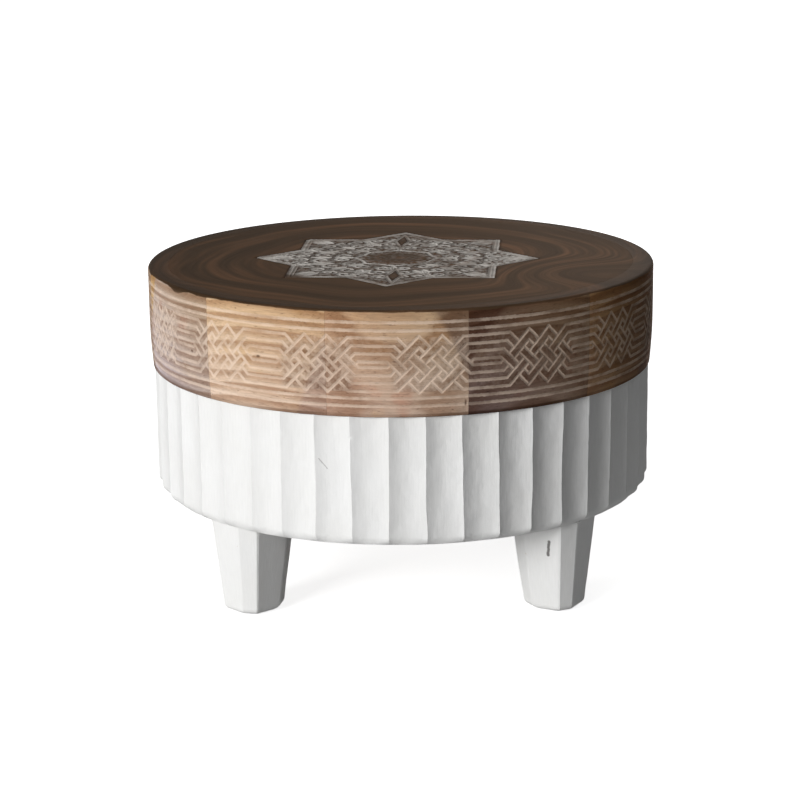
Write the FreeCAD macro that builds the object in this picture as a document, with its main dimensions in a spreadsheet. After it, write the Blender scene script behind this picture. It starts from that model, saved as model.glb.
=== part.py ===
import FreeCAD, Part

import math
import os

import Sketcher

# A low round stool of carved wood. Four tapered legs carry a ring of fluted blocks, a ring of
# taller banded blocks stands on that ring, and a round board lies in a rebate at the top.
# Lengths are millimetres and angles are degrees. The origin is on the floor under the middle
# of the stool, +Z is up and the front of the stool is at -Y.

# The driving dimensions, as they go into the sheet
DRIVING_SIZES = {
    # Storeys, from the floor up
    "leg_height": 93,
    "drum_height": 123,
    "band_height": 99,
    # Banded ring: widest radius, wall, and the curve of its side below the widest place
    "band_radius": 250,
    "band_wall": 36,
    "belly_height": 50,
    "belly_radius": 500,
    "top_edge_radius": 4,
    "band_block_count": 12,
    "band_turn_angle": -1,
    # Top board and the rebate that it lies in
    "ledge_width": 16,
    "board_thickness": 20,
    "board_clearance": 0.3,
    # Fluted ring: its ridges stand behind the band, its flutes are scooped between them
    "ridge_setback": 3.5,
    "drum_wall": 38,
    "flute_depth": 4,
    "drum_block_count": 15,
    "flutes_per_block_count": 3,
    "drum_turn_angle": 17,
    # Star cut into the board's top: the tip radius of its double outline, the place of its
    # middle, and the flower round its bare core
    "star_radius": 139,
    "star_shift_left": 4,
    "star_shift_back": 1,
    "star_turn_angle": -4,
    "star_line_width": 1.8,
    "star_line_depth": 0.9,
    "star_line_spacing": 3.4,
    "star_core_radius": 41,
    "star_core_inner_radius": 36,
    # Legs: the corners of the section at the shoulder, measured from the leg's own axis, the
    # foot as a scale of the shoulder, and how far the foot stands outwards
    "leg_setback": 41,
    "leg_place_angle": 45,
    "leg_turn_angle": 7.6,
    "leg_back_reach": 34,
    "leg_back_half_width": 26.5,
    "leg_flare_reach": 14,
    "leg_flare_half_width": 36,
    "leg_arris_reach": 25.8,
    "leg_arris_half_width": 30,
    "leg_nose_reach": 34.6,
    "leg_nose_half_width": 12.2,
    "leg_heel_reach": 30.3,
    "leg_heel_half_width": 25.4,
    "leg_foot_scale": 0.71,
    "leg_splay": 1.3,
    "foot_edge_radius": 6,
    # Posts inside the drum, and the glides
    "post_width": 44,
    "post_depth": 28,
    "post_above_rail": 45,
    "post_clearance": 0.3,
    "glide_radius": 11,
    "glide_thickness": 2,
    # Crossed rails between the posts, halved over each other, and their end dowels
    "rail_width": 36,
    "rail_height": 30,
    "rail_lift": 15,
    "lap_clearance": 0.2,
    "rail_dowel_radius": 4,
    "rail_dowel_length": 32,
    # Battens under the board
    "batten_width": 45,
    "batten_height": 18,
    "batten_spread": 150,
    "batten_end_gap": 8,
    "batten_screw_margin": 32,
    # Loose tongues across the glued seams, and the upright dowels between the two rings
    "tongue_thickness": 6,
    "tongue_width": 24,
    "tongue_end_gap": 8,
    "dowel_radius": 5,
    "dowel_length": 56,
    "joinery_clearance": 0.15,
    # Countersunk wood screws
    "screw_shank_radius": 2.2,
    "screw_head_radius": 4.4,
    "screw_head_height": 2.8,
    "leg_screw_bite": 20,
    "batten_screw_bite": 11,
    # How far a cutter runs past the face that it opens
    "overrun": 2,
}

LEGS = 4
BATTEN_SCREWS = 3
LEG_SCREWS = 2

# The front of the stool as an angle from +X
FRONT_ANGLE = -90
FULL_TURN = 360
HALF_TURN = 180
QUARTER_TURN = 90

# The quarter round under a foot, as angles from its flat bottom
FOOT_ROUNDING_STEPS = (0, QUARTER_TURN / 2, QUARTER_TURN)

# Names of the legs, and the side on which each has its flared face: the front legs mirror each
# other, and so do the back legs
LEG_SIDES = {
    "leg_front_right": 1,
    "leg_back_right": -1,
    "leg_back_left": 1,
    "leg_front_left": -1,
}

# Corners of a leg's section: outwards (1) or inwards (-1) by a reach, and to the flared side (-1)
# or the other side (1) by a half width
LEG_CORNERS = (
    (-1, "leg_back_reach", -1, "leg_back_half_width"),
    (-1, "leg_flare_reach", -1, "leg_flare_half_width"),
    (1, "leg_arris_reach", -1, "leg_arris_half_width"),
    (1, "leg_nose_reach", -1, "leg_nose_half_width"),
    (1, "leg_heel_reach", 1, "leg_heel_half_width"),
    (-1, "leg_back_reach", 1, "leg_back_half_width"),
)

# Tips of the star on the board
STAR_TIPS = 8

doc = FreeCAD.newDocument("carved_drum_stool")
sheet = doc.addObject("Spreadsheet::Sheet", "Sizes")


class Size:
    """A number together with the sheet formula that gives it."""

    def __init__(self, value, formula):
        self.value = float(value)
        self.formula = formula

    def __add__(self, other):
        other = as_size(other)
        return Size(self.value + other.value, f"({self.formula} + {other.formula})")

    def __sub__(self, other):
        other = as_size(other)
        return Size(self.value - other.value, f"({self.formula} - {other.formula})")

    def __mul__(self, other):
        other = as_size(other)
        return Size(self.value * other.value, f"({self.formula} * {other.formula})")

    def __truediv__(self, other):
        other = as_size(other)
        return Size(self.value / other.value, f"({self.formula} / {other.formula})")

    def __neg__(self):
        return Size(-self.value, f"(0 - {self.formula})")

    def __radd__(self, other):
        return as_size(other) + self

    def __rsub__(self, other):
        return as_size(other) - self

    def __rmul__(self, other):
        return as_size(other) * self

    def __rtruediv__(self, other):
        return as_size(other) / self


def as_size(number):
    """A plain number as a Size, and a Size as it is."""
    if isinstance(number, Size):
        return number
    return Size(number, f"({float(number)})")


def cosine(angle):
    """Cosine of an angle in degrees."""
    angle = as_size(angle)
    return Size(math.cos(math.radians(angle.value)), f"cos({angle.formula})")


def sine(angle):
    """Sine of an angle in degrees."""
    angle = as_size(angle)
    return Size(math.sin(math.radians(angle.value)), f"sin({angle.formula})")


def root(size):
    """Square root of a Size."""
    return Size(math.sqrt(size.value), f"sqrt({size.formula})")


def write_sheet():
    """Put the driving dimensions into the sheet, one row each, and return them as Sizes."""
    sizes = {}
    for row, (name, number) in enumerate(DRIVING_SIZES.items(), start=1):
        sheet.set(f"A{row}", name)
        sheet.set(f"B{row}", str(number))
        sheet.setAlias(f"B{row}", name)
        sizes[name] = Size(number, f"Sizes.{name}")
    doc.recompute()
    return sizes


SIZE = write_sheet()

# Places that several pieces share
DRUM_BASE = SIZE["leg_height"]
DRUM_TOP = DRUM_BASE + SIZE["drum_height"]
STOOL_TOP = DRUM_TOP + SIZE["band_height"]
LEDGE_HEIGHT = STOOL_TOP - SIZE["board_thickness"]
BAND_INNER = SIZE["band_radius"] - SIZE["band_wall"]
RIDGE_RADIUS = SIZE["band_radius"] - SIZE["ridge_setback"]
VALLEY_RADIUS = RIDGE_RADIUS - SIZE["flute_depth"]
DRUM_INNER = RIDGE_RADIUS - SIZE["drum_wall"]
BAND_MIDDLE = (BAND_INNER + SIZE["band_radius"]) / 2
DRUM_MIDDLE = (DRUM_INNER + VALLEY_RADIUS) / 2
DOWEL_CIRCLE = (BAND_INNER + VALLEY_RADIUS) / 2
LEG_CIRCLE = RIDGE_RADIUS - SIZE["leg_setback"]
POST_OUTER = DRUM_INNER - SIZE["post_clearance"]
POST_INNER = POST_OUTER - SIZE["post_depth"]
RAIL_BASE = DRUM_BASE + SIZE["rail_lift"]
RAIL_TOP = RAIL_BASE + SIZE["rail_height"]
BAND_TONGUE_BASE = DRUM_TOP + SIZE["dowel_length"] / 2 + SIZE["tongue_end_gap"]
BAND_TONGUE_HEIGHT = LEDGE_HEIGHT - BAND_TONGUE_BASE - SIZE["tongue_end_gap"]
DRUM_TONGUE_BASE = DRUM_BASE + SIZE["tongue_end_gap"]
DRUM_TONGUE_HEIGHT = RAIL_TOP - DRUM_TONGUE_BASE
BAND_BLOCK_ANGLE = FULL_TURN / SIZE["band_block_count"]
DRUM_BLOCK_ANGLE = FULL_TURN / SIZE["drum_block_count"]
FLUTE_ANGLE = DRUM_BLOCK_ANGLE / SIZE["flutes_per_block_count"]
HOLE_RADIUS = SIZE["dowel_radius"] + SIZE["joinery_clearance"]
SHANK_HOLE = SIZE["screw_shank_radius"] + SIZE["joinery_clearance"]


def bind(thing, path, size):
    """Tie a property of an object to the sheet."""
    thing.setExpression(path, size.formula)


def move_to(thing, x, y, z, turn=FreeCAD.Rotation()):
    """Place an object at three Sizes, turned by a rotation."""
    place = [as_size(size) for size in (x, y, z)]
    thing.Placement = FreeCAD.Placement(FreeCAD.Vector(*[size.value for size in place]), turn)
    for axis, size in zip("xyz", place):
        bind(thing, f"Placement.Base.{axis}", size)


def about_z(angle):
    """A rotation about +Z by an angle in degrees."""
    return FreeCAD.Rotation(FreeCAD.Vector(0, 0, 1), as_size(angle).value)


def outwards(angle):
    """A rotation that lays +Z level, away from the stool's axis at an angle in degrees."""
    level = FreeCAD.Rotation(FreeCAD.Vector(0, 1, 0), QUARTER_TURN)
    return about_z(angle).multiply(level)


def new_body(label):
    """An empty body that will become one piece."""
    body = doc.addObject("PartDesign::Body", label)
    body.Label = label
    return body


def turn_body(body, angle):
    """Turn a finished body about the stool's axis."""
    body.Placement = FreeCAD.Placement(FreeCAD.Vector(), about_z(angle))
    bind(body, "Placement.Rotation.Angle", angle)


def new_sketch(body, name, plane, lift=None):
    """An empty sketch on one of the body's own planes, lifted off it along its normal."""
    sketch = body.newObject("Sketcher::SketchObject", name)
    flat = [item for item in body.Origin.OriginFeatures if item.Role == plane][0]
    sketch.AttachmentSupport = [(flat, "")]
    sketch.MapMode = "FlatFace"
    if lift is not None:
        bind(sketch, "AttachmentOffset.Base.z", lift)
    return sketch


def arc_between(start, end, radius, side):
    """The short arc between two points. Side 1 bends to the left of the way, -1 to the right."""
    chord = end - start
    middle = (start + end) * 0.5
    left = FreeCAD.Vector(-chord.y, chord.x, 0).normalize()
    reach = math.sqrt(max(radius * radius - chord.Length * chord.Length / 4, 0))
    centre = middle + left * (reach * side)
    circle = Part.Circle(centre, FreeCAD.Vector(0, 0, 1), radius)
    first, last = (start, end) if side > 0 else (end, start)
    return Part.ArcOfCircle(circle, circle.parameter(first), circle.parameter(last))


def add_loop(sketch, corners):
    """A closed outline. A corner is (x, y), or (x, y, radius, side) where an arc leads to it."""
    points = [FreeCAD.Vector(as_size(x).value, as_size(y).value, 0) for x, y, *rest in corners]
    first_edge = sketch.GeometryCount
    ends = []
    for index, corner in enumerate(corners):
        start, end = points[index - 1], points[index]
        start_place, end_place = 1, 2
        if len(corner) > 2:
            radius, side = corner[2:]
            sketch.addGeometry(arc_between(start, end, radius.value, side), False)
            if side < 0:
                start_place, end_place = end_place, start_place
            pin = sketch.addConstraint(Sketcher.Constraint("Radius", first_edge + index, radius.value))
            bind(sketch, f"Constraints[{pin}]", radius)
        else:
            sketch.addGeometry(Part.LineSegment(start, end), False)
        ends.append((first_edge + index, start_place, end_place))
    for index, corner in enumerate(corners):
        edge, start_place, end_place = ends[index]
        following, following_start, _ = ends[(index + 1) % len(corners)]
        sketch.addConstraint(
            Sketcher.Constraint("Coincident", edge, end_place, following, following_start))
        for direction, size in zip(("DistanceX", "DistanceY"), corner[:2]):
            size = as_size(size)
            pin = sketch.addConstraint(
                Sketcher.Constraint(direction, -1, 1, edge, end_place, size.value))
            bind(sketch, f"Constraints[{pin}]", size)


def pad(body, name, sketch, length):
    """Raise a sketch by a Size."""
    feature = body.newObject("PartDesign::Pad", name)
    feature.Profile = sketch
    feature.Length = length.value
    bind(feature, "Length", length)
    return feature


def cut_cylinder(body, name, radius, depth, x, y, z, turn=FreeCAD.Rotation()):
    """Bore a round hole. It starts at the place and runs along the turned +Z."""
    hole = body.newObject("PartDesign::SubtractiveCylinder", name)
    bind(hole, "Radius", radius)
    bind(hole, "Height", depth)
    move_to(hole, x, y, z, turn)
    return hole


def cut_box(body, name, length, width, height, x, y, z, turn=FreeCAD.Rotation()):
    """Cut a box that has its first corner at the place."""
    box = body.newObject("PartDesign::SubtractiveBox", name)
    bind(box, "Length", length)
    bind(box, "Width", width)
    bind(box, "Height", height)
    move_to(box, x, y, z, turn)
    return box


def cut_countersink(body, name, x, y, z, turn=FreeCAD.Rotation()):
    """Sink a screw's head flush with the face that it enters."""
    sink = body.newObject("PartDesign::SubtractiveCone", name)
    bind(sink, "Radius1", SIZE["screw_head_radius"] + SIZE["joinery_clearance"])
    bind(sink, "Radius2", SHANK_HOLE)
    bind(sink, "Height", SIZE["screw_head_height"])
    move_to(sink, x, y, z, turn)
    return sink


def cut_tongue_slots(body, name, radius, half_angle, base, height):
    """Half a tongue slot in each side face of a block, on the wall's middle line."""
    slack = SIZE["joinery_clearance"]
    thickness = SIZE["tongue_thickness"] + slack * 2
    width = SIZE["tongue_width"] + slack * 2
    for side, angle in (("left", -half_angle), ("right", half_angle)):
        x = (radius - thickness / 2) * cosine(angle) + width / 2 * sine(angle)
        y = (radius - thickness / 2) * sine(angle) - width / 2 * cosine(angle)
        cut_box(body, f"{name}_slot_{side}", thickness, width, height + slack * 2,
                x, y, base - slack, about_z(angle))


def spaced_angles(count, first):
    """Equal angles round the stool, from the first one on."""
    count = as_size(count)
    return [first + FRONT_ANGLE + as_size(FULL_TURN * index) / count for index in range(int(count.value))]


def angle_within(angle, centre, half_angle):
    """The angle measured from the centre, or None outside the half angle."""
    offset = (angle.value - centre.value + HALF_TURN) % FULL_TURN - HALF_TURN
    turns = round((angle.value - centre.value - offset) / FULL_TURN)
    if abs(offset) < half_angle.value:
        return angle - centre - FULL_TURN * turns
    return None


def leg_screw_heights():
    """Heights of the screws in a post, spread evenly above the rail."""
    step = SIZE["post_above_rail"] / (LEG_SCREWS + 1)
    return [RAIL_TOP + step * (screw + 1) for screw in range(LEG_SCREWS)]


BAND_CENTRES = spaced_angles(SIZE["band_block_count"], SIZE["band_turn_angle"])
DRUM_CENTRES = spaced_angles(SIZE["drum_block_count"], SIZE["drum_turn_angle"])
LEG_ANGLES = spaced_angles(LEGS, SIZE["leg_place_angle"])


def make_band_block(number, centre):
    """One block of the carved band, turned to its widest at the belly, with the board's rebate."""
    label = f"band_block_{number:02d}"
    body = new_body(label)
    half_angle = BAND_BLOCK_ANGLE / 2
    belly = SIZE["belly_radius"]
    drop = belly - root(belly * belly - SIZE["belly_height"] * SIZE["belly_height"])
    edge = SIZE["top_edge_radius"]
    profile = new_sketch(body, f"{label}_profile", "XZ_Plane")
    add_loop(profile, (
        (BAND_INNER, DRUM_TOP),
        (SIZE["band_radius"] - drop, DRUM_TOP),
        (SIZE["band_radius"], DRUM_TOP + SIZE["belly_height"], belly, 1),
        (SIZE["band_radius"], STOOL_TOP - edge),
        (SIZE["band_radius"] - edge, STOOL_TOP, edge, 1),
        (BAND_INNER + SIZE["ledge_width"], STOOL_TOP),
        (BAND_INNER + SIZE["ledge_width"], LEDGE_HEIGHT),
        (BAND_INNER, LEDGE_HEIGHT),
    ))
    ring = body.newObject("PartDesign::Revolution", f"{label}_turned")
    ring.Profile = profile
    ring.ReferenceAxis = (profile, ["V_Axis"])
    ring.Midplane = True
    bind(ring, "Angle", BAND_BLOCK_ANGLE)
    cut_tongue_slots(body, label, BAND_MIDDLE, half_angle, BAND_TONGUE_BASE, BAND_TONGUE_HEIGHT)
    for count, dowel in enumerate(DRUM_CENTRES):
        offset = angle_within(dowel, centre, half_angle)
        if offset is not None:
            cut_cylinder(body, f"{label}_dowel_hole_{count}", HOLE_RADIUS,
                         SIZE["dowel_length"] / 2 + SIZE["overrun"] * 2,
                         DOWEL_CIRCLE * cosine(offset), DOWEL_CIRCLE * sine(offset),
                         DRUM_TOP - SIZE["overrun"])
    turn_body(body, centre)
    return body


def make_drum_block(number, centre):
    """One block of the fluted ring, with its scooped flutes, slots, dowel hole and screw holes."""
    label = f"drum_block_{number:02d}"
    body = new_body(label)
    half_angle = DRUM_BLOCK_ANGLE / 2
    half_flute = FLUTE_ANGLE / 2
    half_chord = RIDGE_RADIUS * sine(half_flute)
    scoop = RIDGE_RADIUS * cosine(half_flute) - VALLEY_RADIUS
    gouge_radius = (half_chord * half_chord + scoop * scoop) / (scoop * 2)
    inner_x = DRUM_INNER * cosine(half_angle)
    inner_y = DRUM_INNER * sine(half_angle)
    corners = [(inner_x, -inner_y, DRUM_INNER, -1)]
    corners.append((RIDGE_RADIUS * cosine(half_angle), -RIDGE_RADIUS * sine(half_angle)))
    for flute in range(int(SIZE["flutes_per_block_count"].value)):
        angle = FLUTE_ANGLE * (flute + 1) - half_angle
        corners.append((RIDGE_RADIUS * cosine(angle), RIDGE_RADIUS * sine(angle), gouge_radius, -1))
    corners.append((inner_x, inner_y))
    outline = new_sketch(body, f"{label}_outline", "XY_Plane", DRUM_BASE)
    add_loop(outline, corners)
    pad(body, f"{label}_raised", outline, SIZE["drum_height"])
    cut_tongue_slots(body, label, DRUM_MIDDLE, half_angle, DRUM_TONGUE_BASE, DRUM_TONGUE_HEIGHT)
    hole_depth = SIZE["dowel_length"] / 2 + SIZE["overrun"]
    cut_cylinder(body, f"{label}_dowel_hole", HOLE_RADIUS, hole_depth + SIZE["overrun"],
                 DOWEL_CIRCLE, 0, DRUM_TOP - hole_depth)
    for count, leg in enumerate(LEG_ANGLES):
        offset = angle_within(leg, centre, half_angle)
        if offset is not None:
            start = DRUM_INNER - SIZE["overrun"]
            for screw, height in enumerate(leg_screw_heights()):
                cut_cylinder(body, f"{label}_screw_hole_{count}_{screw}", SHANK_HOLE,
                             SIZE["leg_screw_bite"] + SIZE["overrun"] * 2,
                             start * cosine(offset), start * sine(offset), height, outwards(offset))
    turn_body(body, centre)
    return body


def leg_section(side, lift, inset):
    """The six corners of a leg at a height over its foot, drawn in by an inset.

    The section is turned a little about the leg's own axis. Two facets make its outer side.
    """
    turn = SIZE["leg_turn_angle"]
    climb = lift / (SIZE["leg_height"] - SIZE["glide_thickness"])
    scale = SIZE["leg_foot_scale"] + (1 - SIZE["leg_foot_scale"]) * climb
    corners = []
    for outward_sign, reach, across_sign, half_width in LEG_CORNERS:
        outward = (SIZE[reach] * scale - inset) * outward_sign + SIZE["leg_splay"] * (1 - climb)
        across = (SIZE[half_width] * scale - inset) * across_sign * side
        x = LEG_CIRCLE + outward * cosine(turn) - across * sine(turn)
        y = outward * sine(turn) + across * cosine(turn)
        corners.append((x, y))
    return corners


def make_leg(label, side, angle):
    """A tapered leg with a rounded foot, a shoulder under the fluted ring and a post inside it."""
    body = new_body(label)
    edge = SIZE["foot_edge_radius"]
    levels = [(edge * (1 - cosine(step)), edge * (1 - sine(step))) for step in FOOT_ROUNDING_STEPS]
    levels.append((SIZE["leg_height"] - SIZE["glide_thickness"], as_size(0)))
    sections = []
    for count, (lift, inset) in enumerate(levels):
        section = new_sketch(body, f"{label}_section_{count}", "XY_Plane", SIZE["glide_thickness"] + lift)
        add_loop(section, leg_section(side, lift, inset))
        sections.append(section)
    taper = body.newObject("PartDesign::AdditiveLoft", f"{label}_taper")
    taper.Profile = sections[0]
    taper.Sections = sections[1:]
    taper.Ruled = True
    half_width = SIZE["post_width"] / 2
    face = root(POST_OUTER * POST_OUTER - half_width * half_width)
    section = new_sketch(body, f"{label}_post_section", "XY_Plane", DRUM_BASE)
    add_loop(section, (
        (POST_INNER, -half_width),
        (face, -half_width),
        (face, half_width, POST_OUTER, 1),
        (POST_INNER, half_width),
    ))
    pad(body, f"{label}_post", section, RAIL_TOP + SIZE["post_above_rail"] - DRUM_BASE)
    for screw, height in enumerate(leg_screw_heights()):
        cut_cylinder(body, f"{label}_screw_hole_{screw}", SHANK_HOLE,
                     SIZE["post_depth"] + SIZE["overrun"] * 2,
                     POST_INNER - SIZE["overrun"], 0, height, outwards(0))
        cut_countersink(body, f"{label}_screw_sink_{screw}", POST_INNER, 0, height, outwards(0))
    cut_cylinder(body, f"{label}_rail_dowel_hole",
                 SIZE["rail_dowel_radius"] + SIZE["joinery_clearance"],
                 SIZE["rail_dowel_length"] / 2 + SIZE["overrun"] * 2,
                 POST_INNER - SIZE["overrun"], 0, RAIL_BASE + SIZE["rail_height"] / 2, outwards(0))
    turn_body(body, angle)
    return body


def make_glide(label, angle):
    """A thin round glide under a leg."""
    glide = doc.addObject("Part::Cylinder", label)
    glide.Label = label
    bind(glide, "Radius", SIZE["glide_radius"])
    bind(glide, "Height", SIZE["glide_thickness"])
    move_to(glide, LEG_CIRCLE * cosine(angle), LEG_CIRCLE * sine(angle), 0)
    return glide


def star_corners(tip, notch):
    """Tips and notches of the star in turn, for a tip radius and a notch radius."""
    step = as_size(FULL_TURN) / STAR_TIPS / 2
    corners = []
    for corner in range(STAR_TIPS * 2):
        angle = SIZE["star_turn_angle"] + step * corner
        radius = notch if corner % 2 else tip
        corners.append((radius * cosine(angle) - SIZE["star_shift_left"],
                        radius * sine(angle) + SIZE["star_shift_back"]))
    return corners


def cut_star_line(board, name, tip, notch):
    """Cut a line round the star into the board's top, half its width to each side of the radii."""
    spread = SIZE["star_line_width"] / 2 / tip
    outline = new_sketch(board, f"{name}_outline", "XY_Plane", STOOL_TOP)
    for scale in (1 + spread, 1 - spread):
        add_loop(outline, star_corners(tip * scale, notch * scale))
    line = board.newObject("PartDesign::Pocket", name)
    line.Profile = outline
    line.Length = SIZE["star_line_depth"].value
    bind(line, "Length", SIZE["star_line_depth"])


def cut_star(board):
    """The star's double outline, made of two crossed squares, and the flower round its core."""
    half_step = as_size(FULL_TURN) / STAR_TIPS / 2
    notch_share = cosine(half_step * 2) / cosine(half_step)
    inner_tip = SIZE["star_radius"] - SIZE["star_line_spacing"] / cosine(half_step * 2)
    for name, tip in (("outer", SIZE["star_radius"]), ("inner", inner_tip)):
        cut_star_line(board, f"star_{name}_line", tip, tip * notch_share)
    cut_star_line(board, "star_core_line", SIZE["star_core_radius"], SIZE["star_core_inner_radius"])


def make_board():
    """The round board in the rebate, with its star and pilot holes for the battens' screws."""
    board = new_body("top_board")
    disc = board.newObject("PartDesign::AdditiveCylinder", "top_board_disc")
    bind(disc, "Radius", BAND_INNER + SIZE["ledge_width"] - SIZE["board_clearance"])
    bind(disc, "Height", SIZE["board_thickness"])
    move_to(disc, 0, 0, LEDGE_HEIGHT)
    for name, x, y in batten_screw_places():
        cut_cylinder(board, f"top_board_{name}", SHANK_HOLE,
                     SIZE["batten_screw_bite"] + SIZE["overrun"] * 2,
                     x, y, LEDGE_HEIGHT - SIZE["overrun"])
    cut_star(board)
    return board


def batten_half_length():
    """Half the length of a batten that ends a gap away from the banded ring."""
    far_edge = (SIZE["batten_spread"] + SIZE["batten_width"]) / 2
    return root(BAND_INNER * BAND_INNER - far_edge * far_edge) - SIZE["batten_end_gap"]


def batten_screw_places():
    """Name and place of every batten screw, seen from above."""
    places = []
    middle = (BATTEN_SCREWS - 1) / 2
    for side in (-1, 1):
        for screw in range(BATTEN_SCREWS):
            x = (batten_half_length() - SIZE["batten_screw_margin"]) * (screw - middle) / middle
            y = SIZE["batten_spread"] * side / 2
            places.append((f"screw_{side + 1}_{screw}", x, y))
    return places


def make_batten(label, side):
    """A flat batten across the underside of the board, clear of the banded ring."""
    batten = new_body(label)
    half_length = batten_half_length()
    base = LEDGE_HEIGHT - SIZE["batten_height"]
    bar = batten.newObject("PartDesign::AdditiveBox", f"{label}_bar")
    bind(bar, "Length", half_length * 2)
    bind(bar, "Width", SIZE["batten_width"])
    bind(bar, "Height", SIZE["batten_height"])
    move_to(bar, -half_length, SIZE["batten_spread"] * side / 2 - SIZE["batten_width"] / 2, base)
    for name, x, y in batten_screw_places():
        if y.value * side > 0:
            cut_cylinder(batten, f"{label}_hole_{name}", SHANK_HOLE,
                         SIZE["batten_height"] + SIZE["overrun"] * 2, x, y, base - SIZE["overrun"])
            cut_countersink(batten, f"{label}_sink_{name}", x, y, base)
    return batten


def make_rail(label, angle, notch_base):
    """A rail between two opposite posts, notched to half its height where the other crosses."""
    rail = new_body(label)
    bar = rail.newObject("PartDesign::AdditiveBox", f"{label}_bar")
    bind(bar, "Length", POST_INNER * 2)
    bind(bar, "Width", SIZE["rail_width"])
    bind(bar, "Height", SIZE["rail_height"])
    move_to(bar, -POST_INNER, -SIZE["rail_width"] / 2, RAIL_BASE)
    notch = SIZE["rail_width"] + SIZE["lap_clearance"] * 2
    cut_box(rail, f"{label}_notch", notch, notch + SIZE["overrun"] * 2,
            SIZE["rail_height"] / 2 + SIZE["overrun"],
            -notch / 2, -notch / 2 - SIZE["overrun"], notch_base)
    depth = SIZE["rail_dowel_length"] / 2 + SIZE["overrun"] * 2
    for end, inwards in ((-1, outwards(0)), (1, outwards(HALF_TURN))):
        cut_cylinder(rail, f"{label}_dowel_hole_{end + 1}",
                     SIZE["rail_dowel_radius"] + SIZE["joinery_clearance"], depth,
                     (POST_INNER + SIZE["overrun"]) * end, 0,
                     RAIL_BASE + SIZE["rail_height"] / 2, inwards)
    turn_body(rail, angle)
    return rail


def group(label, members):
    """Separate solids of one kind, kept together as one piece of the model."""
    compound = doc.addObject("Part::Compound", label)
    compound.Label = label
    compound.Links = members
    return compound


def make_screw(name, length):
    """A countersunk wood screw that points along +Z, with its flat head at the start."""
    head = doc.addObject("Part::Cone", f"{name}_head")
    bind(head, "Radius1", SIZE["screw_head_radius"])
    bind(head, "Radius2", SIZE["screw_shank_radius"])
    bind(head, "Height", SIZE["screw_head_height"])
    shank = doc.addObject("Part::Cylinder", f"{name}_shank")
    bind(shank, "Radius", SIZE["screw_shank_radius"])
    bind(shank, "Height", length - SIZE["screw_shank_radius"] * 2)
    tip = doc.addObject("Part::Cone", f"{name}_tip")
    bind(tip, "Radius1", SIZE["screw_shank_radius"])
    bind(tip, "Radius2", as_size(0))
    bind(tip, "Height", SIZE["screw_shank_radius"] * 2)
    move_to(tip, 0, 0, length - SIZE["screw_shank_radius"] * 2)
    screw = doc.addObject("Part::MultiFuse", name)
    screw.Shapes = [head, shank, tip]
    return screw


def make_leg_screws():
    """Screws from inside each post into the fluted ring."""
    screws = []
    length = SIZE["post_depth"] + SIZE["post_clearance"] + SIZE["leg_screw_bite"]
    for count, angle in enumerate(LEG_ANGLES):
        for step, height in enumerate(leg_screw_heights()):
            screw = make_screw(f"leg_screw_{count}_{step}", length)
            move_to(screw, POST_INNER * cosine(angle), POST_INNER * sine(angle), height, outwards(angle))
            screws.append(screw)
    return group("leg_screws", screws)


def make_batten_screws():
    """Screws from below through the battens into the board."""
    screws = []
    for name, x, y in batten_screw_places():
        screw = make_screw(f"batten_{name}", SIZE["batten_height"] + SIZE["batten_screw_bite"])
        move_to(screw, x, y, LEDGE_HEIGHT - SIZE["batten_height"])
        screws.append(screw)
    return group("batten_screws", screws)


def make_tongues(label, seams, radius, base, height):
    """A loose tongue across every seam of a ring."""
    tongues = []
    for count, angle in enumerate(seams):
        tongue = doc.addObject("Part::Box", f"{label}_{count}")
        bind(tongue, "Length", SIZE["tongue_thickness"])
        bind(tongue, "Width", SIZE["tongue_width"])
        bind(tongue, "Height", height)
        inner = radius - SIZE["tongue_thickness"] / 2
        half = SIZE["tongue_width"] / 2
        move_to(tongue, inner * cosine(angle) + half * sine(angle),
                inner * sine(angle) - half * cosine(angle), base, about_z(angle))
        tongues.append(tongue)
    return group(label, tongues)


def make_ring_dowels():
    """Upright dowels that keep the banded ring on the fluted ring."""
    dowels = []
    for count, angle in enumerate(DRUM_CENTRES):
        dowel = doc.addObject("Part::Cylinder", f"ring_dowel_{count}")
        bind(dowel, "Radius", SIZE["dowel_radius"])
        bind(dowel, "Height", SIZE["dowel_length"])
        move_to(dowel, DOWEL_CIRCLE * cosine(angle), DOWEL_CIRCLE * sine(angle),
                DRUM_TOP - SIZE["dowel_length"] / 2)
        dowels.append(dowel)
    return group("ring_dowels", dowels)


def make_rail_dowels():
    """A dowel from each end of a rail into its post."""
    dowels = []
    for count, angle in enumerate(LEG_ANGLES):
        dowel = doc.addObject("Part::Cylinder", f"rail_dowel_{count}")
        bind(dowel, "Radius", SIZE["rail_dowel_radius"])
        bind(dowel, "Height", SIZE["rail_dowel_length"])
        start = POST_INNER - SIZE["rail_dowel_length"] / 2
        move_to(dowel, start * cosine(angle), start * sine(angle),
                RAIL_BASE + SIZE["rail_height"] / 2, outwards(angle))
        dowels.append(dowel)
    return group("rail_dowels", dowels)


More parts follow.
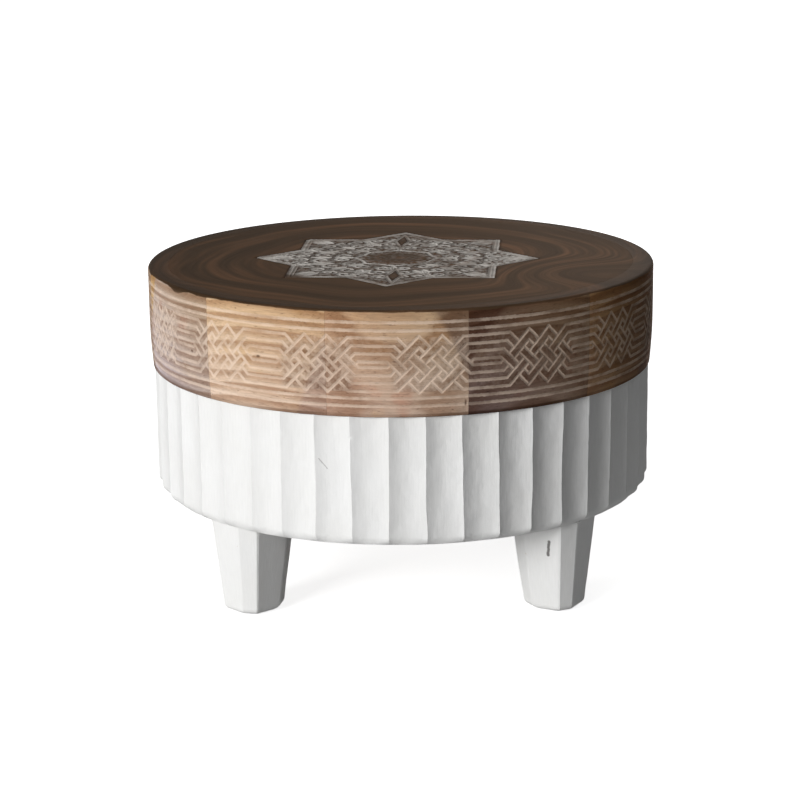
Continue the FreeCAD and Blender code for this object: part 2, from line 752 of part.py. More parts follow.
def make_stool():
    """Every piece of the stool, from the top down."""
    pieces = [make_board()]
    pieces.append(make_batten("batten_front", -1))
    pieces.append(make_batten("batten_back", 1))
    pieces.append(make_batten_screws())
    for number, centre in enumerate(BAND_CENTRES, start=1):
        pieces.append(make_band_block(number, centre))
    band_seams = [centre + BAND_BLOCK_ANGLE / 2 for centre in BAND_CENTRES]
    pieces.append(make_tongues("band_tongues", band_seams, BAND_MIDDLE,
                               BAND_TONGUE_BASE, BAND_TONGUE_HEIGHT))
    pieces.append(make_ring_dowels())
    for number, centre in enumerate(DRUM_CENTRES, start=1):
        pieces.append(make_drum_block(number, centre))
    drum_seams = [centre + DRUM_BLOCK_ANGLE / 2 for centre in DRUM_CENTRES]
    pieces.append(make_tongues("drum_tongues", drum_seams, DRUM_MIDDLE,
                               DRUM_TONGUE_BASE, DRUM_TONGUE_HEIGHT))
    for (label, side), angle in zip(LEG_SIDES.items(), LEG_ANGLES):
        pieces.append(make_leg(label, side, angle))
        pieces.append(make_glide(label.replace("leg", "glide"), angle))
    pieces.append(make_leg_screws())
    half_height = SIZE["rail_height"] / 2
    pieces.append(make_rail("rail_lower", LEG_ANGLES[0], RAIL_BASE + half_height))
    pieces.append(make_rail("rail_upper", LEG_ANGLES[1], RAIL_BASE - SIZE["overrun"]))
    pieces.append(make_rail_dowels())
    return pieces


def check_document():
    """Stop if any object of the document failed."""
    for thing in doc.Objects:
        bad = [state for state in thing.State if state in ("Invalid", "Error")]
        if bad:
            raise RuntimeError(f"{thing.Label} is {bad}")


def write_pieces(pieces):
    """Check every piece and write each to its own file."""
    for piece in pieces:
        if piece.Shape.isNull() or not piece.Shape.isValid():
            raise RuntimeError(f"{piece.Label} has no valid shape")
    os.makedirs("parts", exist_ok=True)
    for piece in pieces:
        piece.Shape.exportStep(f"parts/{piece.Label}.step")
        solids = piece.Shape.Solids
        print(piece.Label, len(solids), "solids", round(piece.Shape.Volume), "cubic millimetres")


stool = make_stool()
doc.recompute()
check_document()
write_pieces(stool)
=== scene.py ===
# %% [markdown]
# # A round carved stool
#
# The stool is a low drum on four stub legs. A ring of white painted, fluted blocks carries a
# taller ring of carved blocks, and a dark stained board with a carved star closes the top. The
# construction model already holds every piece at its real size. This lesson dresses it: the
# shown blocks, legs and board get finely carved meshes, and everything gets its finish.
# All lengths are metres, and the front of the stool is at -Y.

import math

import bpy
import numpy as np
from mathutils import Euler, Matrix, Vector, noise


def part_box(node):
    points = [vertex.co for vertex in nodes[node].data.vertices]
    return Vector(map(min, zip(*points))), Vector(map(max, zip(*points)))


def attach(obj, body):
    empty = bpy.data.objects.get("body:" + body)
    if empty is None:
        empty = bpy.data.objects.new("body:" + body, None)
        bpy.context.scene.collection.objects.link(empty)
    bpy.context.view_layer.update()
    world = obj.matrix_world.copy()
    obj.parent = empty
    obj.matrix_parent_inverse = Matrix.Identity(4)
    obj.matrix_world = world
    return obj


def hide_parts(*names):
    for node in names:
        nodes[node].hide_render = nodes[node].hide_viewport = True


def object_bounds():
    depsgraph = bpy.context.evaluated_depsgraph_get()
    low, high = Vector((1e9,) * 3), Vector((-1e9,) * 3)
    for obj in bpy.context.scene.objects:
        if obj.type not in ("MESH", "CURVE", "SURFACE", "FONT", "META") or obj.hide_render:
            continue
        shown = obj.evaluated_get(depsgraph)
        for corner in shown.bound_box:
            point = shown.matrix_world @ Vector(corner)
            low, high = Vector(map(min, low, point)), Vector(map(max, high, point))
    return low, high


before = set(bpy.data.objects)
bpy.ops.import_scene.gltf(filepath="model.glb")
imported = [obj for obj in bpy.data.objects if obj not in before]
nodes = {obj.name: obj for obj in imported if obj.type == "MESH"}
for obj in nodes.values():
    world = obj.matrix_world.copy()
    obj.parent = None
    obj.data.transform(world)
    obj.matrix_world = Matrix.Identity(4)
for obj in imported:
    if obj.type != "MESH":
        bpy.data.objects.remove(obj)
cad_low, cad_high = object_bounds()
scene = bpy.context.scene
scene.view_settings.view_transform = "Standard"
print("pieces in the frame:", len(nodes))
print("size of the frame:", [round(side, 4) for side in cad_high - cad_low])

# %% [markdown]
# ## Camera
#
# The photograph looks down on the stool a little, from in front and from some way off. The
# camera's place and lens were worked out from the ellipse of the top, the height of the legs
# and the spread of the flutes. It leans by under a degree, as a camera held by hand does.

# %% Set up the camera
CAMERA_DISTANCE = 2.3
CAMERA_HEIGHT = 0.7565
CAMERA_PITCH = math.radians(14.32)
CAMERA_PAN = 0.002
CAMERA_ROLL = -0.011
LENS_PIXELS = 2353
IMAGE_HEIGHT_PIXELS = 800
SENSOR_WIDTH = 36

camera_data = bpy.data.cameras.new("photo_camera")
camera_data.sensor_width = SENSOR_WIDTH
camera_data.lens = LENS_PIXELS * SENSOR_WIDTH / IMAGE_HEIGHT_PIXELS
camera = bpy.data.objects.new("photo_camera", camera_data)
scene.collection.objects.link(camera)
looking = Euler((math.pi / 2 - CAMERA_PITCH, 0, CAMERA_PAN)).to_matrix()
leaning = Matrix.Rotation(CAMERA_ROLL, 3, "Z")
standing = Matrix.Translation((0, -CAMERA_DISTANCE, CAMERA_HEIGHT))
camera.matrix_world = standing @ (looking @ leaning).to_4x4()
scene.camera = camera
print("lens:", round(camera_data.lens, 1), "mm")

# %% [markdown]
# ## Building node trees with little code
#
# Finishes and repeated shapes are node trees. Adding each node by hand takes many lines, so
# these helpers add a node, set its options and join its inputs in one call. An input can be
# given a plain value or the socket that feeds it, and a socket also tells in which tree the
# new node belongs.

# %% Helpers for node trees
def add_node(tree, kind, inputs=None, **options):
    node = tree.nodes.new(kind)
    for option, value in options.items():
        setattr(node, option, value)
    for name, value in (inputs or {}).items():
        if isinstance(value, bpy.types.NodeSocket):
            tree.links.new(value, node.inputs[name])
        else:
            node.inputs[name].default_value = value
    return node


def next_node(kind, inputs, **options):
    """Adds a node to the tree that its inputs come from."""
    sockets = [value for value in inputs.values() if isinstance(value, bpy.types.NodeSocket)]
    return add_node(sockets[0].id_data, kind, inputs, **options)


def calculate(operation, *values, clamp=False):
    inputs = dict(enumerate(values))
    return next_node("ShaderNodeMath", inputs, operation=operation, use_clamp=clamp).outputs[0]


def times(*values):
    return calculate("MULTIPLY", *values)


def plus(*values):
    return calculate("ADD", *values)


def minus(*values, clamp=False):
    return calculate("SUBTRACT", *values, clamp=clamp)


def vector_step(operation, first, second):
    node = next_node("ShaderNodeVectorMath", {0: first, 1: second}, operation=operation)
    return node.outputs["Value" if operation in ("LENGTH", "DOT_PRODUCT") else "Vector"]


def length_of(vector):
    return vector_step("LENGTH", vector, (0, 0, 0))


def axes_of(place):
    return next_node("ShaderNodeSeparateXYZ", {0: place}).outputs


def angle_from_front(axes):
    """The angle of a place round the stool, from the front towards +X."""
    return calculate("ARCTAN2", axes["X"], times(axes["Y"], -1.0))


def remap(value, low, high, to_low=0.0, to_high=1.0, kind="LINEAR"):
    inputs = {"Value": value, "From Min": low, "From Max": high, "To Min": to_low, "To Max": to_high}
    return next_node("ShaderNodeMapRange", inputs, interpolation_type=kind).outputs["Result"]


def ease(*values):
    """Does the same as remap, with a gentle start and end."""
    return remap(*values, kind="SMOOTHSTEP")


def hand_out(end, **values):
    """Joins each value to the group output of that name."""
    for name, value in values.items():
        value.id_data.links.new(value, end[name])


def grain_noise(place, scale, detail=2.0, roughness=0.5):
    inputs = {"Vector": place, "Scale": scale, "Detail": detail, "Roughness": roughness}
    return next_node("ShaderNodeTexNoise", inputs).outputs["Fac"]


def mix_colors(share, first, second, blend="MIX"):
    node = next_node("ShaderNodeMix", {0: share, 6: first, 7: second},
                     data_type="RGBA", blend_type=blend)
    return node.outputs[2]


def tint(share, base, shade):
    """Multiplies a colour by a shade, as far as the share goes."""
    return mix_colors(share, base, shade, "MULTIPLY")


def brighten(base, level):
    gray = next_node("ShaderNodeCombineColor", {0: level, 1: level, 2: level}).outputs[0]
    return tint(1.0, base, gray)


def read_attribute(tree, name, output="Fac"):
    return add_node(tree, "ShaderNodeAttribute", attribute_name=name).outputs[output]


def color(red, green, blue):
    """A colour as seen on a screen, from 0 to 255 a channel, turned into scene-linear values."""
    def linear(channel):
        share = channel / 255
        return share / 12.92 if share <= 0.04045 else ((share + 0.055) / 1.055) ** 2.4
    return (linear(red), linear(green), linear(blue), 1.0)


def new_tree(name, kind, inputs, outputs):
    """An empty node tree with named inputs and outputs of given kinds, and its two ends."""
    tree = bpy.data.node_groups.new(name, kind)
    for label, socket_kind in inputs.items():
        tree.interface.new_socket(label, in_out="INPUT", socket_type="NodeSocket" + socket_kind)
    for label, socket_kind in outputs.items():
        tree.interface.new_socket(label, in_out="OUTPUT", socket_type="NodeSocket" + socket_kind)
    return tree, tree.nodes.new("NodeGroupInput").outputs, tree.nodes.new("NodeGroupOutput").inputs


def new_group(name, numbers, outputs):
    """A shader group that works from a place and some numbers, and gives out numbers."""
    inputs = {"Place": "Vector"} | dict.fromkeys(numbers, "Float")
    return new_tree(name, "ShaderNodeTree", inputs, dict.fromkeys(outputs, "Float"))


def place_group(group, inputs):
    """Puts a shader group into the tree of its inputs."""
    return next_node("ShaderNodeGroup", inputs, node_tree=group).outputs


def new_material(name, specular):
    """A material with its surface shader, whose fixed specular level is set on the socket."""
    material = bpy.data.materials.new(name)
    material.use_nodes = True
    tree = material.node_tree
    shader = tree.nodes["Principled BSDF"]
    shader.inputs["Specular IOR Level"].default_value = specular
    return material, tree, shader


def finish_surface(shader, base, rough, height, bump_distance):
    """Joins colour, roughness and a bump made from a height in 0 to 1 to the surface shader."""
    bump = next_node("ShaderNodeBump", {"Height": height, "Distance": bump_distance, "Strength": 1.0})
    for name, value in (("Base Color", base), ("Roughness", rough), ("Normal", bump.outputs["Normal"])):
        shader.id_data.links.new(value, shader.inputs[name])


def object_place(tree):
    return tree.nodes.new("ShaderNodeTexCoord").outputs["Object"]


def seen_directly(tree):
    """1 for rays from the camera and for rays that gloss or glass sends on, 0 for the rest."""
    rays = tree.nodes.new("ShaderNodeLightPath").outputs
    bent = calculate("MAXIMUM", rays["Is Glossy Ray"], rays["Is Transmission Ray"])
    return calculate("MAXIMUM", rays["Is Camera Ray"], bent)


print("node helpers are ready")

# %% [markdown]
# ## Effects that several finishes share
#
# Wood shows growth rings that run along the plank, fine fibres, and short dark pores. One
# group makes all three from a place whose X runs along the grain, so that a block, a rail and
# a dowel can each turn it their own way. A second group is the whitewash that was rubbed into
# the carved lines and wiped off the flats: it needs the distance to the nearest line. A third
# group is the brushing and wear of old paint.

# %% Shader group: figure of the wood
RING_WAVINESS = 1.4


def make_wood_figure():
    tree, start, end = new_group("wood_figure", ("Ring Spacing",), ("Rings", "Fibres", "Pores"))
    along = vector_step("MULTIPLY", start["Place"], (0.06, 1.0, 1.0))
    across = vector_step("MULTIPLY", start["Place"], (0.0, 1.0, 1.0))
    bend = times(grain_noise(along, 22.0, 2.0), RING_WAVINESS)
    reach = calculate("DIVIDE", length_of(across), start["Ring Spacing"])
    ring = calculate("FRACT", plus(reach, bend))
    early = ease(ring, 0.0, 0.75)
    late = ease(ring, 0.82, 1.0, 1.0, 0.0)
    fibres = grain_noise(along, 900.0, 3.0, 0.6)
    drawn_out = vector_step("MULTIPLY", start["Place"], (0.11, 1.0, 1.0))
    pores = ease(grain_noise(drawn_out, 1300.0, 1.0), 0.66, 0.74)
    hand_out(end, Rings=times(early, late), Fibres=fibres, Pores=pores)
    return tree


WOOD_FIGURE = make_wood_figure()


# %% Shader group: whitewash in carved lines
def make_whitewash():
    numbers = ("Line Distance", "Half Width", "Haze")
    tree, start, end = new_group("rubbed_whitewash", numbers, ("Mask", "Dirt"))
    share = calculate("DIVIDE", start["Line Distance"], start["Half Width"])
    fray = grain_noise(start["Place"], 420.0, 3.0, 0.6)
    ragged = plus(share, remap(fray, 0.2, 0.8, -0.28, 0.28))
    groove = ease(ragged, 0.62, 1.12, 1.0, 0.0)
    rubbing = grain_noise(start["Place"], 55.0, 3.0, 0.6)
    left_over = ease(rubbing, 0.32, 0.62, 0.45, 1.0)
    cloud = ease(grain_noise(start["Place"], 190.0, 3.0, 0.65), 0.35, 0.72)
    mask = calculate("MAXIMUM", times(groove, left_over), times(start["Haze"], cloud))
    # Just outside each line the wood is darkened: partly dirt, partly painted shade beside the groove.
    beside = ease(share, 1.0, 2.5, 1.0, 0.0)
    hand_out(end, Mask=mask, Dirt=minus(beside, groove, clamp=True))
    return tree


WHITEWASH = make_whitewash()


def place_whitewash(tree, place, half_width):
    """The whitewash group, fed with the distance and the film that are kept on the mesh."""
    return place_group(WHITEWASH, {
        "Place": place, "Line Distance": read_attribute(tree, "line_distance"),
        "Half Width": half_width, "Haze": read_attribute(tree, "haze")})


# %% Shader group: brushed paint
def make_brushed_paint():
    tree, start, end = new_group("brushed_paint", ("Arris",), ("Strokes", "Dirt", "Worn"))
    upright = vector_step("MULTIPLY", start["Place"], (1.0, 1.0, 0.08))
    strokes = grain_noise(upright, 650.0, 3.0, 0.6)
    dirt = remap(grain_noise(start["Place"], 16.0, 4.0, 0.62), 0.35, 0.75)
    chipped = plus(grain_noise(start["Place"], 150.0, 4.0, 0.7), times(start["Arris"], 0.14))
    hand_out(end, Strokes=strokes, Dirt=dirt, Worn=ease(chipped, 0.80, 0.86))
    return tree


BRUSHED_PAINT = make_brushed_paint()
print("shader groups:", [group.name for group in bpy.data.node_groups])

# %% [markdown]
# ## Finishes
#
# Each finish is one function. The carved blocks read their own colour, grain direction and
# distance to the nearest line from the mesh, because every block was cut from another plank.
# The dark stain of the top runs over the ring as far as its rounded edge, with a slightly
# uneven border, so the same border is part of the carved blocks' finish.

# %% Finish of the carved blocks
WHITEWASH_COLOR = color(230, 209, 190)
WHITEWASH_STRENGTH = 0.74
STAIN_DARK = color(89, 69, 51)
STAIN_WARM = color(113, 83, 60)
STAIN_BORDER = 0.003
# A run of stain down the side: its angle, half its width, and how far it comes down
STAIN_RUN = (math.radians(-57.5), math.radians(5.5), 0.0038)
TOP_EDGE = 0.004
LINE_HALF_WIDTH = 0.0017
SEAM_HALF_WIDTH = 0.0001
KNOT_ON_TOP = (0.16, -0.08, 0.0)


def stained_color(place):
    """The dark stain of the top: growth rings that follow the rim and close round one knot."""
    flat = vector_step("MULTIPLY", place, (1.0, 1.0, 0.0))
    warp = times(grain_noise(flat, 6.0, 1.0), 0.06)
    from_middle = length_of(flat)
    from_knot = length_of(vector_step("SUBTRACT", flat, KNOT_ON_TOP))
    round_knot = ease(from_knot, 0.0, 0.1, 0.085, 0.0)
    reach = plus(from_middle, plus(warp, round_knot))
    radial = next_node("ShaderNodeCombineXYZ", {"X": reach}).outputs[0]
    turning = vector_step("MULTIPLY", flat, (0.06, 0.06, 0.0))
    lengthwise = vector_step("ADD", radial, turning)
    wide = grain_noise(lengthwise, 55.0, 2.0, 0.6)
    fine = grain_noise(lengthwise, 300.0, 3.0, 0.6)
    patch = grain_noise(place, 9.0, 2.0)
    warm = times(ease(wide, 0.42, 0.66), remap(patch, 0.3, 0.6, 0.35, 1.0))
    base = mix_colors(warm, STAIN_DARK, STAIN_WARM)
    both = next_node("ShaderNodeMix", {0: 0.4, 2: wide, 3: fine}, data_type="FLOAT").outputs[0]
    streak = remap(both, 0.34, 0.66, 0.72, 1.2)
    rim = ease(from_middle, 0.222, 0.246, 1.0, 0.68)
    # The stain is darker on the left and lighter on the right.
    lighter_on_right = remap(axes_of(place)["X"], -0.25, 0.25, 0.72, 1.3)
    level = times(streak, times(rim, lighter_on_right))
    return brighten(base, level), fine


def stain_share(place):
    """Where the ring is stained: its top and most of its rounded edge, and one run down its side."""
    axes = axes_of(place)
    middle, half_width, drop = STAIN_RUN
    beside = calculate("ABSOLUTE", minus(angle_from_front(axes), middle))
    run = ease(beside, 0.0, half_width, drop, 0.0)
    from_axis = length_of(vector_step("MULTIPLY", place, (1.0, 1.0, 0.0)))
    over_edge = minus(axes["Z"], from_axis)
    border_noise = remap(grain_noise(place, 30.0, 3.0), 0.3, 0.7, -0.0013, 0.0013)
    reach = plus(over_edge, plus(run, border_noise))
    border = cad_high.z - TOP_EDGE - cad_high.x + STAIN_BORDER
    stained = remap(reach, border - 0.0007, border + 0.0007)
    thinner = remap(axes["Z"], cad_high.z - TOP_EDGE * 2, cad_high.z - TOP_EDGE / 2, 0.6, 1.0)
    return times(stained, thinner)


def darker_above_lower_edge(place):
    """A darker strip just above the ring's lower edge, highest on the left, with gaps in it."""
    axes = axes_of(place)
    height = minus(axes["Z"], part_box("band_block_01")[0].z)
    reach = ease(axes["X"], -0.23, -0.15, 0.0078, 0.0042)
    share = minus(1.0, calculate("DIVIDE", height, reach), clamp=True)
    gaps = remap(grain_noise(place, 11.0, 2.0), 0.35, 0.6, 0.35, 1.0)
    return times(ease(share, 0.0, 0.5, 0.0, 0.85), gaps)


def make_carved_wood():
    material, tree, shader = new_material("carved_wood", 0.002)
    place = object_place(tree)
    own_place = read_attribute(tree, "block_place", "Vector")
    figure = place_group(WOOD_FIGURE, {"Place": own_place, "Ring Spacing": 0.011})
    tone = read_attribute(tree, "tone", "Color")
    base = tint(times(figure["Rings"], 0.75), tone, color(196, 176, 160))
    red_noise = grain_noise(own_place, 26.0, 3.0, 0.6)
    redness = ease(red_noise, 0.55, 0.75, 0.0, 0.45)
    base = tint(redness, base, color(238, 190, 172))
    yellow_noise = grain_noise(own_place, 19.0, 3.0, 0.6)
    yellowness = ease(yellow_noise, 0.25, 0.45, 0.5, 0.0)
    base = tint(yellowness, base, color(255, 240, 196))
    base = brighten(base, remap(figure["Fibres"], 0.3, 0.7, 0.82, 1.14))
    base = tint(times(figure["Pores"], 0.55), base, color(120, 96, 80))
    # A darker, greyer cast on the knots: partly grime, partly painted shade in their hollows.
    base = tint(read_attribute(tree, "grime"), base, color(196, 196, 200))
    wash = place_whitewash(tree, place, LINE_HALF_WIDTH)
    lime = mix_colors(0.3, WHITEWASH_COLOR, tone)
    kept = times(read_attribute(tree, "lime_kept"), WHITEWASH_STRENGTH)
    base = mix_colors(times(wash["Mask"], kept), base, lime)
    base = mix_colors(read_attribute(tree, "wood_knot"), base, color(84, 58, 42))
    from_seam = read_attribute(tree, "seam_distance")
    seam = remap(from_seam, SEAM_HALF_WIDTH, 4 * SEAM_HALF_WIDTH, 0.25, 0.0)
    base = mix_colors(seam, base, color(60, 44, 34))
    stained = stain_share(place)
    base = mix_colors(stained, base, stained_color(place)[0])
    # Darker just above the ring's lower edge, most of all on the left.
    base = tint(darker_above_lower_edge(place), base, color(140, 122, 108))
    rough = remap(wash["Mask"], 0.0, 1.0, 0.52, 0.85)
    rough = minus(rough, times(stained, 0.12))
    relief = minus(times(figure["Fibres"], 0.6), times(figure["Pores"], 0.6))
    finish_surface(shader, base, rough, relief, 0.00018)
    return material


CARVED_WOOD = make_carved_wood()


# %% Finish of the stained board
STAR_WASH_HALF_WIDTH = 0.0021


def make_stained_wood():
    material, tree, shader = new_material("dark_stained_wood", 0.001)
    place = object_place(tree)
    base, fine = stained_color(place)
    wash = place_whitewash(tree, place, STAR_WASH_HALF_WIDTH)
    # Darkened just outside the star's lines: partly dirt, partly painted shade beside the grooves.
    base = tint(wash["Dirt"], base, color(170, 160, 150))
    patches = grain_noise(place, 60.0, 2.0)
    lime = mix_colors(patches, color(244, 239, 232), color(196, 190, 183))
    worn = times(read_attribute(tree, "wear"), 0.85)
    kept = minus(0.96, worn)
    base = mix_colors(times(wash["Mask"], kept), base, lime)
    rough = remap(wash["Mask"], 0.0, 1.0, 0.38, 0.85)
    finish_surface(shader, base, rough, fine, 0.00012)
    return material


STAINED_WOOD = make_stained_wood()


# %% Finish of the painted blocks and legs
# Both ends of each mark, half its width and its darkness
PAINT_MARKS = (
    ((0.1370, -0.1752, 0.0605), (0.1374, -0.1769, 0.0745), 0.0016, 0.85),
    ((-0.0766, -0.2326, 0.1745), (-0.0690, -0.2332, 0.1652), 0.0007, 0.4),
)


def stroke_mask(place, start, end, half_width):
    """A thin stroke between two places on the front, ragged at its sides; its depth counts little."""
    flatten = Vector((1.0, 0.3, 1.0))
    start, end = Vector(start) * flatten, Vector(end) * flatten
    along = end - start
    offset = vector_step("SUBTRACT", vector_step("MULTIPLY", place, flatten), start)
    reach = vector_step("DOT_PRODUCT", offset, along)
    share = calculate("DIVIDE", reach, along.length_squared, clamp=True)
    nearest = vector_step("MULTIPLY", share, along)
    distance = length_of(vector_step("SUBTRACT", offset, nearest))
    fray = remap(grain_noise(place, 200.0, 2.0), 0.3, 0.7, -half_width / 3, half_width / 3)
    ragged = plus(distance, fray)
    return ease(ragged, half_width * 0.5, half_width * 1.1, 1.0, 0.0)


def make_white_paint():
    material, tree, shader = new_material("white_painted_wood", 0.01)
    place = object_place(tree)
    paint = place_group(BRUSHED_PAINT, {"Place": place, "Arris": read_attribute(tree, "arris")})
    base = mix_colors(times(paint["Dirt"], 0.35), color(234, 234, 233), color(222, 221, 217))
    base = brighten(base, remap(paint["Strokes"], 0.3, 0.7, 0.97, 1.01))
    base = mix_colors(times(paint["Worn"], 0.5), base, color(186, 170, 150))
    height = paint["Strokes"]
    for start, end, half_width, darkness in PAINT_MARKS:
        stroke = stroke_mask(place, start, end, half_width)
        mark = times(stroke, darkness)
        base = mix_colors(mark, base, color(92, 88, 84))
        height = minus(height, mark)
    rough = remap(paint["Strokes"], 0.3, 0.7, 0.6, 0.74)
    finish_surface(shader, base, rough, height, 0.00015)
    return material


WHITE_PAINT = make_white_paint()


# %% Finish of the plain inner wood
def make_plain_wood(name, turn):
    """Bare wood. The turn lays the grain, which runs along X, along the piece."""
    material, tree, shader = new_material(name, 0.05)
    mapping = next_node("ShaderNodeMapping", {"Vector": object_place(tree), "Rotation": turn,
                                              "Location": (0.0, 0.031, 0.017)})
    place = mapping.outputs[0]
    figure = place_group(WOOD_FIGURE, {"Place": place, "Ring Spacing": 0.008})
    base = mix_colors(figure["Rings"], color(206, 172, 128), color(178, 138, 96))
    base = brighten(base, remap(figure["Fibres"], 0.3, 0.7, 0.86, 1.1))
    base = mix_colors(times(figure["Pores"], 0.5), base, color(110, 80, 55))
    rough = remap(figure["Fibres"], 0.3, 0.7, 0.66, 0.8)
    finish_surface(shader, base, rough, figure["Fibres"], 0.0002)
    return material


HALF_RIGHT_ANGLE = math.pi / 4
WOOD_ALONG_X = make_plain_wood("plain_wood_level", (0.0, 0.0, 0.0))
WOOD_ALONG_RISING = make_plain_wood("plain_wood_diagonal", (0.0, 0.0, -HALF_RIGHT_ANGLE))
WOOD_ALONG_FALLING = make_plain_wood("plain_wood_other_diagonal", (0.0, 0.0, HALF_RIGHT_ANGLE))
WOOD_UPRIGHT = make_plain_wood("plain_wood_upright", (0.0, math.pi / 2, 0.0))


# %% Finishes of screws and glides
def make_speckled(name, specular, metallic, speckle, tones, rough, bump_distance):
    """A fine speckle between two tones, which also makes the roughness and the bump uneven."""
    material, tree, shader = new_material(name, specular)
    shader.inputs["Metallic"].default_value = metallic
    grain = grain_noise(object_place(tree), *speckle)
    base = mix_colors(grain, *tones)
    finish_surface(shader, base, remap(grain, 0.3, 0.7, *rough), grain, bump_distance)
    return material


STEEL_TONES = (color(196, 190, 172), color(150, 146, 138))
FELT_TONES = (color(84, 78, 72), color(136, 128, 118))
SCREW_STEEL = make_speckled("screw_steel", 0.5, 1.0, (700.0, 3.0, 0.6), STEEL_TONES,
                            (0.28, 0.5), 0.00003)
GLIDE_FELT = make_speckled("glide", 0.2, 0.0, (2400.0, 3.0, 0.7), FELT_TONES, (0.85, 0.98), 0.0004)
print("finishes:", [material.name for material in bpy.data.materials if material.use_nodes])

# %% [markdown]
# ## Dressing the pieces that keep their shape
#
# Battens, rails, dowels, tongues, screws and glides are already right. Each only needs its
# finish, with the grain along the piece.

# %% Give the kept pieces their finish
KEPT_FINISHES = (
    (WOOD_ALONG_X, "batten_front", "batten_back"),
    (WOOD_ALONG_RISING, "rail_lower", "rail_dowels"),
    (WOOD_ALONG_FALLING, "rail_upper"),
    (WOOD_UPRIGHT, "ring_dowels", "band_tongues", "drum_tongues"),
    (SCREW_STEEL, "leg_screws", "batten_screws"),
    (GLIDE_FELT, "glide_front_left", "glide_front_right", "glide_back_left", "glide_back_right"),
)
for finish, *node_names in KEPT_FINISHES:
    for node_name in node_names:
        nodes[node_name].data.materials.clear()
        nodes[node_name].data.materials.append(finish)
print("finishes on kept pieces:", len(KEPT_FINISHES))

# %% [markdown]
# ## Carving with Geometry Nodes
#
# The carver cut the same V-shaped line over and over: along the straps of the ring and round
# the scrolls of the star. A tree can do the same. Every point of the blank knows its place on
# a flat plan of the pattern. The tree finds the nearest line of the plan, and sinks the point
# the deeper, the nearer it is. A little noise in the place makes the line waver like a
# hand-cut one. The distance to the line is kept on the mesh for the whitewash.

# %% The carving tree
def new_shape_tree(name, numbers, objects=()):
    """A geometry tree that changes a shape, with the numbers and objects it needs."""
    inputs = {"Geometry": "Geometry"} | dict.fromkeys(objects, "Object")
    inputs |= dict.fromkeys(numbers, "Float") | {"Material": "Material"}
    tree, start, end = new_tree(name, "GeometryNodeTree", inputs, {"Geometry": "Geometry"})
    tree.is_modifier = True
    return tree, start, end


def end_tree(shape, material, end):
    """Makes the shape real, gives it its finish and hands it out."""
    real = next_node("GeometryNodeRealizeInstances", {"Geometry": shape})
    inputs = {"Geometry": real.outputs[0], "Material": material}
    hand_out(end, Geometry=next_node("GeometryNodeSetMaterial", inputs).outputs[0])


def stored(tree, name, kind):
    node = add_node(tree, "GeometryNodeInputNamedAttribute", {"Name": name}, data_type=kind)
    return node.outputs["Attribute"]


def keep_value(shape, name, value):
    """Keeps a value for each point of the shape under a name."""
    inputs = {"Geometry": shape, "Name": name, "Value": value}
    keep = next_node("GeometryNodeStoreNamedAttribute", inputs, data_type="FLOAT", domain="POINT")
    return keep.outputs[0]


def scaled(vector, scale):
    inputs = {"Vector": vector, "Scale": scale}
    return next_node("ShaderNodeVectorMath", inputs, operation="SCALE").outputs["Vector"]


def make_carving_tree():
    numbers = ("Half Width", "Depth", "Waver", "Waver Scale")
    tree, start, end = new_shape_tree("carve_along_lines", numbers, ("Lines",))
    place = stored(tree, "plan_place", "FLOAT_VECTOR")
    outward = stored(tree, "outward", "FLOAT_VECTOR")
    lines = next_node("GeometryNodeObjectInfo", {"Object": start["Lines"]}).outputs["Geometry"]
    spot = tree.nodes.new("GeometryNodeInputPosition").outputs[0]
    inputs = {"Vector": spot, "Scale": start["Waver Scale"], "Detail": 1.0}
    drift = next_node("ShaderNodeTexNoise", inputs)
    centred = vector_step("SUBTRACT", drift.outputs["Color"], (0.5, 0.5, 0.5))
    moved = vector_step("ADD", place, scaled(centred, start["Waver"]))
    near = next_node("GeometryNodeProximity", {"Geometry": lines, "Sample Position": moved},
                     target_element="EDGES").outputs["Distance"]
    uneven = remap(drift.outputs["Fac"], 0.3, 0.7, 0.86, 1.14)
    share = calculate("DIVIDE", near, times(start["Half Width"], uneven))
    groove = minus(1.0, share, clamp=True)
    sunk = times(groove, start["Depth"])
    offset = scaled(outward, times(sunk, -1.0))
    inputs = {"Geometry": start["Geometry"], "Offset": offset}
    cut = next_node("GeometryNodeSetPosition", inputs).outputs[0]
    end_tree(keep_value(cut, "line_distance", near), start["Material"], end)
    return tree


CARVE_ALONG_LINES = make_carving_tree()


def shape_with(piece, tree, inputs):
    """Runs a geometry tree on a piece and keeps the result as its plain mesh."""
    modifier = piece.modifiers.new(tree.name, "NODES")
    modifier.node_group = tree
    for item in tree.interface.items_tree:
        if item.in_out == "INPUT" and item.name in inputs:
            modifier[item.identifier] = inputs[item.name]
    graph = bpy.context.evaluated_depsgraph_get()
    result = bpy.data.meshes.new_from_object(piece.evaluated_get(graph), preserve_all_data_layers=True,
                                             depsgraph=graph)
    piece.modifiers.clear()
    blank = piece.data
    piece.data = result
    bpy.data.meshes.remove(blank)
    result.name = piece.name


print("carving tree nodes:", len(CARVE_ALONG_LINES.nodes))

# %% [markdown]
# ## The interlace on a flat plan
#
# The ring's pattern is a plait that opens into a long hexagon and closes again, fifteen times
# round. All of it comes from one strap, mirrored left to right and top to bottom. Where two
# straps cross, they take turns: the falling strap passes over in the odd columns of crossings
# and under in the even ones. A strap is drawn by its two edge lines, and the lines of the
# lower strap stop at the edges of the upper one.

